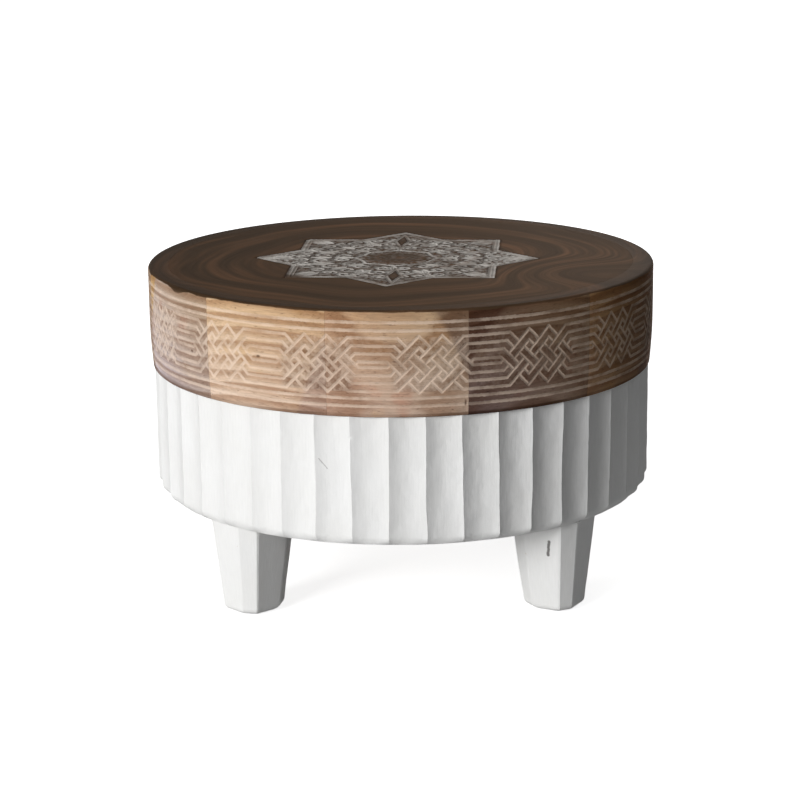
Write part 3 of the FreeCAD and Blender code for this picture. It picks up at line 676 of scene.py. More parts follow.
# %% Sizes of the ring and its pattern
BLOCK_ANGLE = math.radians(30)
FIRST_BLOCK_ANGLE = math.radians(-1)
REPEAT_ANGLE = math.radians(24)
FIRST_KNOT_ANGLE = math.radians(5.96)
CELLS_PER_STEP = 10
STEPS_PER_REPEAT = 10
BAND_RADIUS = cad_high.x
BAND_BASE, BAND_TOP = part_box("band_block_01")[0].z, cad_high.z
PATTERN_HEIGHT = BAND_BASE + 0.0494
STEP = BAND_RADIUS * REPEAT_ANGLE / STEPS_PER_REPEAT
CELL = STEP / CELLS_PER_STEP
STRAP_HALF = STEP / 2 / math.sqrt(2)
INNER_STRAP_SHARE = 0.6
# In pattern steps: the lines run a little past half a repeat, so that no gap shows at its ends
REPEAT_REACH = 5.6
CROSSING_REACH = 1.1
BORDER_HEIGHTS = (0.0313, 0.0387)
print("pattern step:", round(STEP * 1000, 2), "mm, cell:", round(CELL * 1000, 2), "mm")


# %% Draw the lines of one repeat
def strap_path(side, level):
    """The middle line of one strap, in pattern steps. Side and level are 1 or -1 and mirror it."""
    turn = 3 + INNER_STRAP_SHARE
    path = ((-REPEAT_REACH, 2), (-3, 2), (1, -2), (turn, INNER_STRAP_SHARE),
            (REPEAT_REACH, INNER_STRAP_SHARE))
    return [Vector((x * side, y * level)) * STEP for x, y in path]


def strap_edge(path, side):
    """One edge line of a strap: the middle line moved sideways, with mitred corners."""
    edge = []
    for count, point in enumerate(path):
        before = point - path[count - 1] if count else path[1] - point
        after = (path[count + 1] - point) if count + 1 < len(path) else before
        first, second = before.normalized(), after.normalized()
        mitre = (first + second).normalized()
        normal = Vector((-mitre.y, mitre.x))
        edge.append(point + normal * side * STRAP_HALF / mitre.dot(first))
    return edge


def is_over(column, falling):
    return (column % 2 == 1) == falling


def cut_under(start, end, crossings):
    """Splits an edge line wherever its strap dives under another one."""
    along = (end - start).normalized()
    length = (end - start).length
    falling = along.x * along.y < 0
    if abs(along.x * along.y) < 0.01:
        return [(start, end)]
    gaps = []
    for column, row in crossings:
        centre = Vector((column, row)) * STEP
        reach = (centre - start).dot(along)
        beside = (centre - start - along * reach).length
        if beside < STRAP_HALF * CROSSING_REACH and not is_over(column, falling) and 0 < reach < length:
            gaps.append(reach)
    pieces = []
    here = 0.0
    for reach in sorted(gaps):
        pieces.append((start + along * here, start + along * (reach - STRAP_HALF)))
        here = reach + STRAP_HALF
    pieces.append((start + along * here, end))
    return pieces


def interlace_lines():
    crossings = [(i, j) for i in range(-3, 4) for j in (-1, 0, 1) if (i + j) % 2]
    lines = []
    for side in (-1, 1):
        for level in (-1, 1):
            path = strap_path(side, level)
            for edge_side in (-1, 1):
                edge = strap_edge(path, edge_side)
                for start, end in zip(edge, edge[1:]):
                    lines += cut_under(start, end, crossings)
    reach = STEP * REPEAT_REACH
    for height in BORDER_HEIGHTS:
        for level in (-1, 1):
            lines.append((Vector((-reach, height * level)), Vector((reach, height * level))))
    return lines


def add_piece(name, points, edges, faces):
    """A new object in the scene from points, edges and faces."""
    mesh = bpy.data.meshes.new(name)
    mesh.from_pydata(points, edges, faces)
    piece = bpy.data.objects.new(name, mesh)
    scene.collection.objects.link(piece)
    return piece


def draw_lines(name, lines):
    """A mesh of bare edges on a flat plan. It only guides the carving, and is removed after it."""
    points = [(*point, 0.0) for line in lines for point in line]
    return add_piece(name, points, [(i, i + 1) for i in range(0, len(points), 2)], [])


interlace_plan = draw_lines("interlace_plan", interlace_lines())
print("lines in one repeat:", len(interlace_plan.data.edges))

# %% [markdown]
# ## Blanks for the ring blocks
#
# A block is its cross section swept round the stool's axis. The outer side needs a fine net
# of cells, whose rows and columns fall on the pattern's own grid, so that straight lines stay
# straight when they are cut. A point in the middle of each cell lets lines run both ways
# across it. The hidden sides need only a few faces.

# %% Sweep a block
def sweep_points(profile, angles):
    """Points of a profile of radius and height, turned to each angle from the front."""
    radius, height = np.array(profile).T
    x = np.sin(angles)[:, None] * radius[None, :]
    y = -np.cos(angles)[:, None] * radius[None, :]
    z = np.repeat(height[None, :], len(angles), 0)
    return np.stack((x, y, z), -1).reshape(-1, 3)


def sweep_block(name, profile, angles, fine_rows):
    """A closed block. The first rows of the profile, on the outer side, get a point per cell."""
    rows = len(profile)
    columns = len(angles)
    points = sweep_points(profile, angles)
    corner = np.arange(columns - 1)[:, None] * rows + np.arange(rows)[None, :]
    above = np.arange(columns - 1)[:, None] * rows + (np.arange(rows)[None, :] + 1) % rows
    quads = np.stack((corner, corner + rows, above + rows, above), -1)
    fine = quads[:, :fine_rows - 1].reshape(-1, 4)
    coarse = quads[:, fine_rows - 1:].reshape(-1, 4)
    centres = points[fine].mean(1)
    middle = len(points) + np.arange(len(fine))
    faces = [tuple(quad) for quad in coarse.tolist()]
    for first, second in ((0, 1), (1, 2), (2, 3), (3, 0)):
        triangles = np.stack((fine[:, first], fine[:, second], middle), -1)
        faces += [tuple(face) for face in triangles.tolist()]
    faces.append(tuple(range(rows)))
    faces.append(tuple(range((columns - 1) * rows, columns * rows))[::-1])
    return add_piece(name, np.vstack((points, centres)).tolist(), [], faces)


def mesh_points(mesh):
    points = np.empty(len(mesh.vertices) * 3, np.float32)
    mesh.vertices.foreach_get("co", points)
    return points.reshape(-1, 3).astype(float)


def store(mesh, name, values):
    """Keeps a number, a vector or a colour for each point of a mesh."""
    values = np.asarray(values, np.float32).reshape(len(mesh.vertices), -1)
    kinds = {1: ("FLOAT", "value"), 3: ("FLOAT_VECTOR", "vector"), 4: ("FLOAT_COLOR", "color")}
    kind, field = kinds[values.shape[1]]
    attribute = mesh.attributes.new(name, kind, "POINT")
    attribute.data.foreach_set(field, values.ravel())


def polar(points):
    """Angle from the front towards +X, and distance from the stool's axis."""
    return np.arctan2(points[:, 0], -points[:, 1]), np.hypot(points[:, 0], points[:, 1])


# %% [markdown]
# The ring's side swells a little towards the middle of its height and its top edge is
# rounded. Below and above the plait the rows are listed, close together only where the
# border lines are cut.

# %% Cross section of the ring
BELLY_HEIGHT = 0.05
BELLY_RADIUS = 0.5
BOTTOM_EDGE = 0.0008
BAND_WALL = 0.036
BOARD_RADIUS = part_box("top_board")[1].x
JOINT_GAP = 0.0001
LEDGE_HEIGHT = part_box("top_board")[0].z
EDGE_STEPS = 5
PLAIT_HALF_ROWS = 26.5


def band_radius_at(height):
    below = max(BAND_BASE + BELLY_HEIGHT - height, 0.0)
    return BAND_RADIUS - BELLY_RADIUS + math.sqrt(BELLY_RADIUS ** 2 - below ** 2)


def border_rows():
    """Heights over the pattern's middle for the rows of a border, from the plait outwards."""
    rows = []
    for line in BORDER_HEIGHTS:
        rows += [line + LINE_HALF_WIDTH * share for share in (-1.25, -0.9, -0.45, 0.0, 0.45, 0.9, 1.25)]
    return rows


def rounded_edge(size, steps):
    """How far each point round an edge lies inside the first and the second face beside it."""
    turns = [math.pi / 2 * step / steps for step in range(steps + 1)]
    return [(size * (1 - math.cos(turn)), size * (1 - math.sin(turn))) for turn in turns]


def band_profile():
    plait = [CELL * (row - PLAIT_HALF_ROWS) for row in range(round(PLAIT_HALF_ROWS * 2) + 1)]
    lower = [-row for row in reversed(border_rows())]
    heights = [PATTERN_HEIGHT + row for row in lower + plait + border_rows()]
    heights = [BAND_BASE + BOTTOM_EDGE, (heights[0] + BAND_BASE) / 2] + heights
    heights += [(heights[-1] + BAND_TOP - TOP_EDGE) / 2, BAND_TOP - TOP_EDGE]
    outer = [(band_radius_at(BAND_BASE) - BOTTOM_EDGE, BAND_BASE)]
    outer += [(band_radius_at(height), height) for height in heights]
    edge = rounded_edge(TOP_EDGE, EDGE_STEPS)[1:]
    outer += [(BAND_RADIUS - inward, BAND_TOP - down) for inward, down in edge]
    ledge = BOARD_RADIUS + JOINT_GAP
    inner = BAND_RADIUS - BAND_WALL
    hidden = [(ledge, BAND_TOP), (ledge, LEDGE_HEIGHT), (inner, LEDGE_HEIGHT), (inner, BAND_BASE)]
    return outer + hidden, len(outer)


BAND_PROFILE, BAND_OUTER_ROWS = band_profile()
print("rows on the ring's outer side:", BAND_OUTER_ROWS)

# %% [markdown]
# Each block was cut from another plank, so each gets its own wood tone, from pale yellowish
# tan on the left to a deep brown on the right, and its own part of the grain. The tone drifts
# from one end of a block to the other, and in one corner the plank's darker or lighter heart
# shows. The lower part of the ring is greyer than the upper part.

# %% Looks of the twelve blocks
# Tone at the left end, tone at the right end, then the heart streak: the direction to its
# corner in degrees, its distance from the block's middle that way, and its tone
BLOCK_LOOKS = (
    (color(186, 151, 119), color(188, 159, 127), 25, 0.050, color(134, 110, 90)),
    (color(109, 87, 73), color(148, 120, 93), 140, 0.050, color(88, 63, 50)),
    (color(170, 132, 93), color(102, 73, 47), -30, 0.050, color(98, 72, 52)),
    (color(134, 104, 82), color(150, 120, 94), 160, 0.045, color(100, 76, 60)),
    (color(120, 94, 74), color(132, 104, 80), 35, 0.050, color(90, 68, 54)),
    (color(176, 146, 116), color(164, 134, 104), -150, 0.050, color(128, 98, 76)),
    (color(138, 108, 86), color(150, 120, 96), 20, 0.048, color(104, 80, 64)),
    (color(166, 136, 108), color(176, 146, 118), 150, 0.050, color(120, 92, 72)),
    (color(116, 92, 76), color(128, 102, 82), -25, 0.048, color(150, 122, 98)),
    (color(180, 156, 136), color(170, 146, 124), 155, 0.052, color(132, 106, 86)),
    (color(204, 184, 168), color(172, 148, 124), 150, 0.062, color(206, 172, 126)),
    (color(211, 180, 144), color(196, 162, 126), -20, 0.054, color(176, 144, 116)),
)
STREAK_BOW = 0.004
GRAY_BELOW = (1.08, 1.18, 1.5)
BLOCK_KNOTS = (
    (math.radians(-31.55), 0.2664, 0.0021, 0.0012),
    (math.radians(-51.65), 0.2587, 0.0019, 0.0012),
    (math.radians(13.34), 0.2283, 0.0010, 0.0032),
)
CARVE_DEPTH = 0.0005
# For each knot, from the first one on: grime with painted shade and film of lime on it, and the lime
# that is kept in the lines of the hexagon after it
KNOT_LOOKS = (
    (0.50, 0.55, 0.95), (0.15, 0.20, 0.95), (0.20, 0.20, 0.90), (0.40, 0.30, 0.75), (0.50, 0.45, 0.90),
    (0.25, 0.30, 0.80), (0.55, 0.40, 0.95), (0.40, 0.50, 0.70), (0.20, 0.25, 0.90), (0.50, 0.45, 0.85),
    # The thirteenth knot, at -66 degrees on the far left, has a film of 1.30: partly lime, partly a
    # painted sheen of light glancing off the ring.
    (0.35, 0.30, 0.95), (0.50, 0.40, 0.75), (0.25, 1.30, 0.90), (0.15, 0.35, 0.68), (0.60, 0.60, 0.78),
)
HEXAGON_HAZE = 0.2
GRAIN_SPREAD = 0.35
block_random = np.random.default_rng(12)
print("looks:", len(BLOCK_LOOKS))


def smooth_step(values, low, high):
    share = np.clip((values - low) / (high - low), 0, 1)
    return share * share * (3 - 2 * share)


def block_tone(look, offset, height):
    """The wood tone at each point of a block, from its place along and up the block."""
    left, right, turn, reach, streak = look
    along = offset * BAND_RADIUS
    share = smooth_step(offset, -BLOCK_ANGLE / 2, BLOCK_ANGLE / 2)[:, None]
    tone = np.array(left) * (1 - share) + np.array(right) * share
    bow = STREAK_BOW * np.sin(along * 70 + reach * 900)
    way = along * math.cos(math.radians(turn)) + height * math.sin(math.radians(turn)) + bow
    share = smooth_step(way, reach - 0.003, reach + 0.004)[:, None]
    tone = tone * (1 - share) + np.array(streak) * share
    share = np.clip(0.5 - height / 0.09, 0, 1)[:, None]
    return tone * (1 - share + share * np.array((*GRAY_BELOW, 1.0)))


def plait_looks(angle, turn, height):
    """Grime with painted shade, film and kept lime at each point: one look on a knot, another in the
    hexagon after it.
    """
    looks = np.array(KNOT_LOOKS)
    steps = (angle - FIRST_KNOT_ANGLE) / REPEAT_ANGLE
    on_knot = looks[np.round(steps).astype(int) % len(looks)]
    after_knot = looks[np.floor(steps).astype(int) % len(looks)]
    in_knot = 1 - smooth_step(np.abs(turn) * BAND_RADIUS, STEP * 2.8, STEP * 3.6)
    in_plait = np.abs(height) < STEP * 2.4
    grime = on_knot[:, 0] * in_knot * (1 - smooth_step(height, STEP * 1.5, STEP * 2.2)) * in_plait
    haze = (HEXAGON_HAZE + (on_knot[:, 1] - HEXAGON_HAZE) * in_knot) * in_plait
    kept = np.where(in_plait, after_knot[:, 2] + (1 - after_knot[:, 2]) * in_knot, 0.95)
    return grime, haze, kept


def wood_knot_share(angle, height):
    """How much of a dark knot lies at each point of the ring."""
    share = np.zeros_like(angle)
    for knot_angle, knot_height, half_width, half_height in BLOCK_KNOTS:
        across = (angle - knot_angle) * BAND_RADIUS / half_width
        up = (height - knot_height) / half_height
        share = np.maximum(share, 1 - smooth_step(np.hypot(across, up), 0.5, 1.4))
    return share * 0.8


# %% Make and carve the twelve blocks
def dress_block(block, centre, look):
    """Keeps on a block what its carving and its finish have to know."""
    mesh = block.data
    points = mesh_points(mesh)
    angle, radius = polar(points)
    turn = (angle - FIRST_KNOT_ANGLE + REPEAT_ANGLE / 2) % REPEAT_ANGLE - REPEAT_ANGLE / 2
    height = points[:, 2] - PATTERN_HEIGHT
    shown = (radius > BAND_RADIUS - TOP_EDGE) & (points[:, 2] < BAND_TOP - TOP_EDGE / 2)
    flat = np.zeros_like(height)
    store(mesh, "plan_place", np.stack((turn * BAND_RADIUS, height, flat), -1))
    outward = np.stack((np.sin(angle), -np.cos(angle), flat), -1)
    store(mesh, "outward", outward * shown[:, None])
    offset = (angle - centre + math.pi) % (2 * math.pi) - math.pi
    along = np.stack((radius * np.sin(offset), radius * np.cos(offset) - BAND_RADIUS, points[:, 2]), -1)
    own_start = block_random.uniform(-GRAIN_SPREAD, GRAIN_SPREAD, 3)
    store(mesh, "block_place", along + own_start)
    store(mesh, "seam_distance", (BLOCK_ANGLE / 2 - np.abs(offset)) * BAND_RADIUS)
    store(mesh, "tone", block_tone(look, offset, height))
    for name, values in zip(("grime", "haze", "lime_kept"), plait_looks(angle, turn, height)):
        store(mesh, name, values)
    store(mesh, "wood_knot", wood_knot_share(angle, points[:, 2]))


for number, look in enumerate(BLOCK_LOOKS, 1):
    centre = FIRST_BLOCK_ANGLE + BLOCK_ANGLE * (number - 1)
    columns = round(BLOCK_ANGLE * BAND_RADIUS / CELL) + 1
    angles = np.linspace(centre - BLOCK_ANGLE / 2, centre + BLOCK_ANGLE / 2, columns)
    block = sweep_block(f"carved_block_{number:02d}", BAND_PROFILE, angles, BAND_OUTER_ROWS)
    dress_block(block, centre, look)
    shape_with(block, CARVE_ALONG_LINES, {
        "Lines": interlace_plan, "Half Width": LINE_HALF_WIDTH, "Depth": CARVE_DEPTH,
        "Waver": 0.0007, "Waver Scale": 38.0, "Material": CARVED_WOOD})
    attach(block, "root")
    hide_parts(f"band_block_{number:02d}")
print("carved blocks:", number, "with", len(block.data.polygons), "faces each")

# %% [markdown]
# ## The fluted ring
#
# Forty-five shallow hollows were scooped up the side of the painted ring, and each pair meets
# in a sharp ridge. The blank is a plain swept block whose columns share the ridges. The tree
# works out where in its hollow each point lies, and pushes it inwards along a scoop. The
# ridges wander a little as they rise, because the gouge was guided by hand.

# %% The fluting tree
FLUTE_ANGLE = math.radians(8)
FIRST_RIDGE_ANGLE = math.radians(5)
FLUTE_DEPTH = 0.004
RIPPLE_DEPTH = 0.0004
NICK_DEPTH = 0.0006
DRUM_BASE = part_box("drum_block_01")[0].z
DRUM_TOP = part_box("drum_block_01")[1].z
RIDGE_SETBACK = 0.0035
DRUM_WALL = 0.038
RIDGE_RADIUS = BAND_RADIUS - RIDGE_SETBACK
DRUM_INNER = RIDGE_RADIUS - DRUM_WALL


def make_fluting_tree():
    numbers = ("Ridge Radius", "Depth", "Flute Angle", "First Ridge", "Wander", "Base", "Edge")
    tree, start, end = new_shape_tree("scoop_flutes", numbers)
    spot = tree.nodes.new("GeometryNodeInputPosition").outputs[0]
    axes = axes_of(spot)
    angle = angle_from_front(axes)
    past_ridge = minus(angle, start["First Ridge"])
    flute = calculate("FRACT", calculate("DIVIDE", past_ridge, start["Flute Angle"]))
    across = minus(times(flute, 2.0), 1.0)
    edge_share = times(across, across)
    scoop = minus(1.0, edge_share)
    broad = vector_step("MULTIPLY", spot, (1.0, 1.0, 0.45))
    hand = grain_noise(broad, 30.0, 2.0)
    depth = times(start["Depth"], remap(hand, 0.3, 0.7, 0.84, 1.12))
    ripple = remap(grain_noise(spot, 75.0, 2.0), 0.3, 0.7, 0.0, RIPPLE_DEPTH)
    nicked = ease(grain_noise(spot, 60.0, 2.0), 0.64, 0.78, 0.0, NICK_DEPTH)
    nick = times(nicked, calculate("POWER", edge_share, 4.0))
    height = minus(axes["Z"], start["Base"])
    low = minus(1.0, calculate("DIVIDE", height, start["Edge"]), clamp=True)
    rounding = times(low, low)
    turned_in = times(rounding, times(start["Edge"], 0.35))
    scoop = plus(scoop, times(edge_share, rounding))
    sunk = plus(times(depth, scoop), ripple)
    sunk = plus(plus(sunk, nick), turned_in)
    radius = minus(start["Ridge Radius"], sunk)
    drift = grain_noise(vector_step("MULTIPLY", spot, (1.0, 1.0, 0.7)), 16.0, 2.0)
    wander = times(minus(drift, 0.5), start["Wander"])
    turned = plus(angle, wander)
    x = times(radius, calculate("SINE", turned))
    forward = times(radius, calculate("COSINE", turned))
    y = times(forward, -1.0)
    moved = next_node("ShaderNodeCombineXYZ", {"X": x, "Y": y, "Z": axes["Z"]}).outputs[0]
    outer = calculate("GREATER_THAN", stored(tree, "outer", "FLOAT"), 0.5)
    cut = next_node("GeometryNodeSetPosition",
                    {"Geometry": start["Geometry"], "Selection": outer, "Position": moved})
    arris = times(calculate("POWER", edge_share, 12.0), outer)
    end_tree(keep_value(cut.outputs[0], "arris", arris), start["Material"], end)
    return tree


SCOOP_FLUTES = make_fluting_tree()
print("fluting tree nodes:", len(SCOOP_FLUTES.nodes))

# %% [markdown]
# The blank's rows are close together at the rounded lower edge. Each block has three flutes,
# and its seams lie in ridges, where paint hides them.

# %% Make and flute the fifteen blocks
DRUM_BLOCK_COUNT = 15
FLUTES_PER_BLOCK = 3
DRUM_BLOCK_ANGLE = FLUTE_ANGLE * FLUTES_PER_BLOCK
FIRST_DRUM_CENTRE = math.radians(17)
COLUMNS_PER_FLUTE = 20
DRUM_EDGE = 0.009
EDGE_ROWS = (0.0, 0.12, 0.25, 0.4, 0.6, 0.8, 1.0)
DRUM_ROWS = 40


def drum_profile():
    low = [DRUM_BASE + DRUM_EDGE * share for share in EDGE_ROWS]
    high = [low[-1] + (DRUM_TOP - low[-1]) * row / DRUM_ROWS for row in range(1, DRUM_ROWS + 1)]
    outer = [(RIDGE_RADIUS, height) for height in low + high]
    return outer + [(DRUM_INNER, DRUM_TOP), (DRUM_INNER, DRUM_BASE)], len(outer)


DRUM_PROFILE, DRUM_OUTER_ROWS = drum_profile()
for number in range(1, DRUM_BLOCK_COUNT + 1):
    centre = FIRST_DRUM_CENTRE + DRUM_BLOCK_ANGLE * (number - 1)
    angles = np.linspace(centre - DRUM_BLOCK_ANGLE / 2, centre + DRUM_BLOCK_ANGLE / 2,
                         COLUMNS_PER_FLUTE * FLUTES_PER_BLOCK + 1)
    block = sweep_block(f"fluted_block_{number:02d}", DRUM_PROFILE, angles, DRUM_OUTER_ROWS)
    radius = polar(mesh_points(block.data))[1]
    store(block.data, "outer", radius > (RIDGE_RADIUS + DRUM_INNER) / 2)
    shape_with(block, SCOOP_FLUTES, {
        "Ridge Radius": RIDGE_RADIUS, "Depth": FLUTE_DEPTH, "Flute Angle": FLUTE_ANGLE,
        "First Ridge": FIRST_RIDGE_ANGLE, "Wander": 0.028, "Base": DRUM_BASE, "Edge": DRUM_EDGE,
        "Material": WHITE_PAINT})
    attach(block, "root")
    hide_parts(f"drum_block_{number:02d}")
print("fluted blocks:", number, "with", len(block.data.polygons), "faces each")

# %% [markdown]
# ## The legs
#
# Each leg was hewn from one piece: a post that is screwed behind the painted ring, a shoulder
# under the ring, and a stub that tapers to the foot. Its outer side was cut to one wide and one
# narrow facet, and one of its sides swells. The sections are polygons with six corners at every
# height, so a leg is a stack of such sections. Each corner is eased a little, and the faces get
# the slight hollows of hand work. Neighbouring legs mirror each other.

# %% Sections of a leg
LEG_NAMES = ("front_right", "back_right", "back_left", "front_left")
LEG_SIDES = (1, -1, 1, -1)
LEG_PLACE_ANGLE = math.radians(45)
LEG_TURN = math.radians(7.6)
LEG_SETBACK = 0.041
LEG_CIRCLE = RIDGE_RADIUS - LEG_SETBACK
# Corners outwards from the leg's own axis and across it, seen from above
LEG_CORNERS = (
    (-0.034, -0.0265),
    (-0.014, -0.036),
    (0.0258, -0.030),
    (0.0346, -0.0122),
    (0.0303, 0.0254),
    (-0.034, 0.0265),
)
FOOT_SCALE = 0.71
LEG_SPLAY = 0.0013
FOOT_EDGE = 0.006
FOOT_EDGE_STEPS = 4
LEG_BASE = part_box("leg_front_right")[0].z
LEG_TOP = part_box("leg_front_right")[1].z
POST_CLEARANCE = 0.0003
POST_DEPTH = 0.02785
POST_OUTER = DRUM_INNER - POST_CLEARANCE
POST_INNER = POST_OUTER - POST_DEPTH
POST_HALF_WIDTH = 0.022
CORNER_SHARE = 0.045
POINTS_PER_SIDE = 9
LEG_ROWS = 26


def eased_polygon(corners):
    """Points round a polygon, with each corner cut by a small bevel."""
    points = []
    for count, corner in enumerate(corners):
        after = corners[(count + 1) % len(corners)]
        for step in range(POINTS_PER_SIDE):
            share = CORNER_SHARE + (1 - 2 * CORNER_SHARE) * step / (POINTS_PER_SIDE - 1)
            points.append(corner.lerp(after, share))
    return points


def sided(corners, side):
    """The corners as they are, or mirrored across the leg and still in the same sense of turn."""
    return corners if side > 0 else [Vector((corner.x, -corner.y)) for corner in reversed(corners)]


def leg_section(side, climb, inset):
    """Corners of the leg at a share of its height, outwards from the stool and across it."""
    scale = FOOT_SCALE + (1 - FOOT_SCALE) * climb
    corners = []
    for outward, across in LEG_CORNERS:
        outward = outward * scale - math.copysign(inset, outward) + LEG_SPLAY * (1 - climb)
        corners.append(Vector((outward, across * scale - math.copysign(inset, across))))
    turned = Matrix.Rotation(LEG_TURN, 2)
    return [Vector((LEG_CIRCLE, 0)) + turned @ corner for corner in sided(corners, side)]


def post_section(side):
    half = POST_HALF_WIDTH
    face = math.sqrt(POST_OUTER ** 2 - half ** 2)
    middle = (POST_INNER + face) / 2
    corners = ((POST_INNER, -half), (middle, -half), (face, -half), (POST_OUTER, 0), (face, half),
               (POST_INNER, half))
    return sided([Vector(corner) for corner in corners], side)


def leg_levels(side):
    """Height and corners of each section, from the sole up to the top of the post."""
    height = DRUM_BASE - LEG_BASE
    lifts = rounded_edge(FOOT_EDGE, FOOT_EDGE_STEPS)
    lifts += [(FOOT_EDGE + (height - FOOT_EDGE) * row / LEG_ROWS, 0.0) for row in range(1, LEG_ROWS + 1)]
    levels = [(LEG_BASE + lift, leg_section(side, lift / height, inset)) for lift, inset in lifts]
    return levels + [(DRUM_BASE, post_section(side)), (LEG_TOP, post_section(side))]


print("sections in a leg:", len(leg_levels(1)))

# %% [markdown]
# The stack is closed by a face at each end, turned to its corner of the stool, and then worked
# over with noise: broad, shallow dents of about half a millimetre that leave the shoulder and
# the post alone.

# %% Make the four legs
DENT = 0.0007
BROAD_DENTS = (34, 0.6)
SMALL_DENTS = (90, 0.25)
DENT_MIDDLE = 0.45
DENT_FADE = 0.004


def make_leg(label, side, angle):
    levels = leg_levels(side)
    around = POINTS_PER_SIDE * len(levels[0][1])
    turn = Matrix.Rotation(angle, 3, "Z")
    points = []
    for height, corners in levels:
        points += [turn @ Vector((*point, height)) for point in eased_polygon(corners)]
    faces = []
    for row in range(len(levels) - 1):
        for step in range(around):
            after = (step + 1) % around
            faces.append((row * around + step, row * around + after,
                          (row + 1) * around + after, (row + 1) * around + step))
    faces.append(tuple(range(around))[::-1])
    faces.append(tuple(range((len(levels) - 1) * around, len(levels) * around)))
    leg = add_piece(label, points, [], faces)
    mesh = leg.data
    mesh.update()
    axis = turn @ Vector((LEG_CIRCLE, 0, 0))
    arris = []
    for vertex in mesh.vertices:
        spot = vertex.co
        free = min(1.0, max(0.0, (DRUM_BASE - spot.z) / DENT_FADE))
        outward = Vector((spot.x - axis.x, spot.y - axis.y, 0)).normalized()
        dent = -DENT_MIDDLE
        for fineness, weight in (BROAD_DENTS, SMALL_DENTS):
            dent += noise.noise(spot * fineness) * weight
        vertex.co = spot + outward * dent * DENT * free
        side_step = vertex.index % POINTS_PER_SIDE
        arris.append(free if side_step in (0, POINTS_PER_SIDE - 1) else 0.0)
    store(mesh, "arris", arris)
    mesh.materials.append(WHITE_PAINT)
    return leg


for quarter, (name, side) in enumerate(zip(LEG_NAMES, LEG_SIDES), -1):
    leg = make_leg(f"hewn_leg_{name}", side, LEG_PLACE_ANGLE + math.pi / 2 * quarter)
    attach(leg, "root")
    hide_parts(f"leg_{name}")
print("legs:", len(LEG_NAMES), "with", len(leg.data.polygons), "faces each")

# %% [markdown]
# ## The star on the board
#
# An eight-pointed star, made of two squares, is carved in the middle of the top and filled
# with scrolls and leaves. It is drawn as lines on a flat plan, as the ring's pattern was. One
# motif of scrolls fills half of an eighth, and mirroring and turning it fills the star.

# %% Draw the star and its scrolls
STAR_CENTRE = Vector((-0.004, 0.001))
STAR_TURN = math.radians(-4)
STAR_RADIUS = 0.139
STAR_NOTCH_SHARE = math.cos(math.radians(45)) / math.cos(math.radians(22.5))
OUTLINE_GAP = 0.0048
CORE_RADIUS = 0.036
CORE_TIP_RADIUS = 0.04104
EIGHTH = math.pi / 4
# The plain eighths, and how far the lozenge of each lies beside its axis
LOZENGE_SHIFTS = {2: 0.0, 6: 0.0035}
LOZENGE_MIDDLE = 0.091
LOZENGE_HALF_LENGTH = 0.034
LOZENGE_HALF_WIDTH = 0.0075
SCROLL_STEPS = 16
SCROLL_TURN = math.radians(414)
SCROLL_SHRINK = 0.78
LEAF_STEPS = 6
VEIN_SHARE = 0.8
# Scrolls of half an eighth: centre along the axis and beside it, radius, first angle, way round
SCROLLS = (
    (0.0525, 0.0095, 0.0085, -1.2, 1),
    (0.0735, 0.0135, 0.0100, 2.2, -1),
    (0.0905, 0.0270, 0.0085, 2.6, -1),
    (0.0955, 0.0090, 0.0080, 1.8, 1),
)
# Leaves of half an eighth: root, tip and width
LEAVES = (
    ((0.0440, 0.0000), (0.0600, 0.0000), 0.0030),
    ((0.0660, 0.0000), (0.0840, 0.0000), 0.0034),
    ((0.0640, 0.0215), (0.0800, 0.0315), 0.0030),
    ((0.0845, 0.0345), (0.0990, 0.0395), 0.0022),
)


def polyline(points, closed=False):
    ends = points[1:] + points[:1] if closed else points[1:]
    return list(zip(points, ends))


def at(radius, angle):
    return Vector((radius * math.cos(angle), radius * math.sin(angle)))


def zigzag(outer, inner):
    """Sixteen points round the middle, out and in by turns."""
    return [at(inner if corner % 2 else outer, corner * EIGHTH / 2) for corner in range(16)]


def star_outline(radius):
    """The sixteen corners of the star: tips and notches in turn."""
    return zigzag(radius, radius * STAR_NOTCH_SHARE)


def scroll(centre, radius, start, way):
    """A spiral that winds in towards its centre."""
    points = []
    for step in range(SCROLL_STEPS + 1):
        share = step / SCROLL_STEPS
        reach = radius * (1 - SCROLL_SHRINK * share)
        points.append(centre + at(reach, start + way * SCROLL_TURN * share))
    return polyline(points)


def leaf(root, tip, width):
    """A pointed leaf: two bowed sides and a vein."""
    along = tip - root
    across = Vector((-along.y, along.x)).normalized() * width
    lines = [(root, root + along * VEIN_SHARE)]
    shares = [step / LEAF_STEPS for step in range(LEAF_STEPS + 1)]
    for side in (-1, 1):
        bow = across * side
        lines += polyline([root + along * share + bow * math.sin(math.pi * share) for share in shares])
    return lines


def half_motif():
    """Scrolls and leaves in half of an eighth, above the X axis, between core and tip."""
    lines = []
    for reach, beside, radius, start, way in SCROLLS:
        lines += scroll(Vector((reach, beside)), radius, start, way)
    for root, tip, width in LEAVES:
        lines += leaf(Vector(root), Vector(tip), width)
    return lines


def in_lozenge(point, shift):
    """Whether a point lies in the long bare lozenge near the axis of a plain eighth."""
    along = abs(point.x - LOZENGE_MIDDLE) / LOZENGE_HALF_LENGTH
    return along + abs(point.y - shift) / LOZENGE_HALF_WIDTH < 1


def lozenge(shift):
    length, width = LOZENGE_HALF_LENGTH, LOZENGE_HALF_WIDTH
    places = ((-length, 0), (0, width), (length, 0), (0, -width))
    return polyline([Vector((LOZENGE_MIDDLE + x, shift + y)) for x, y in places], closed=True)


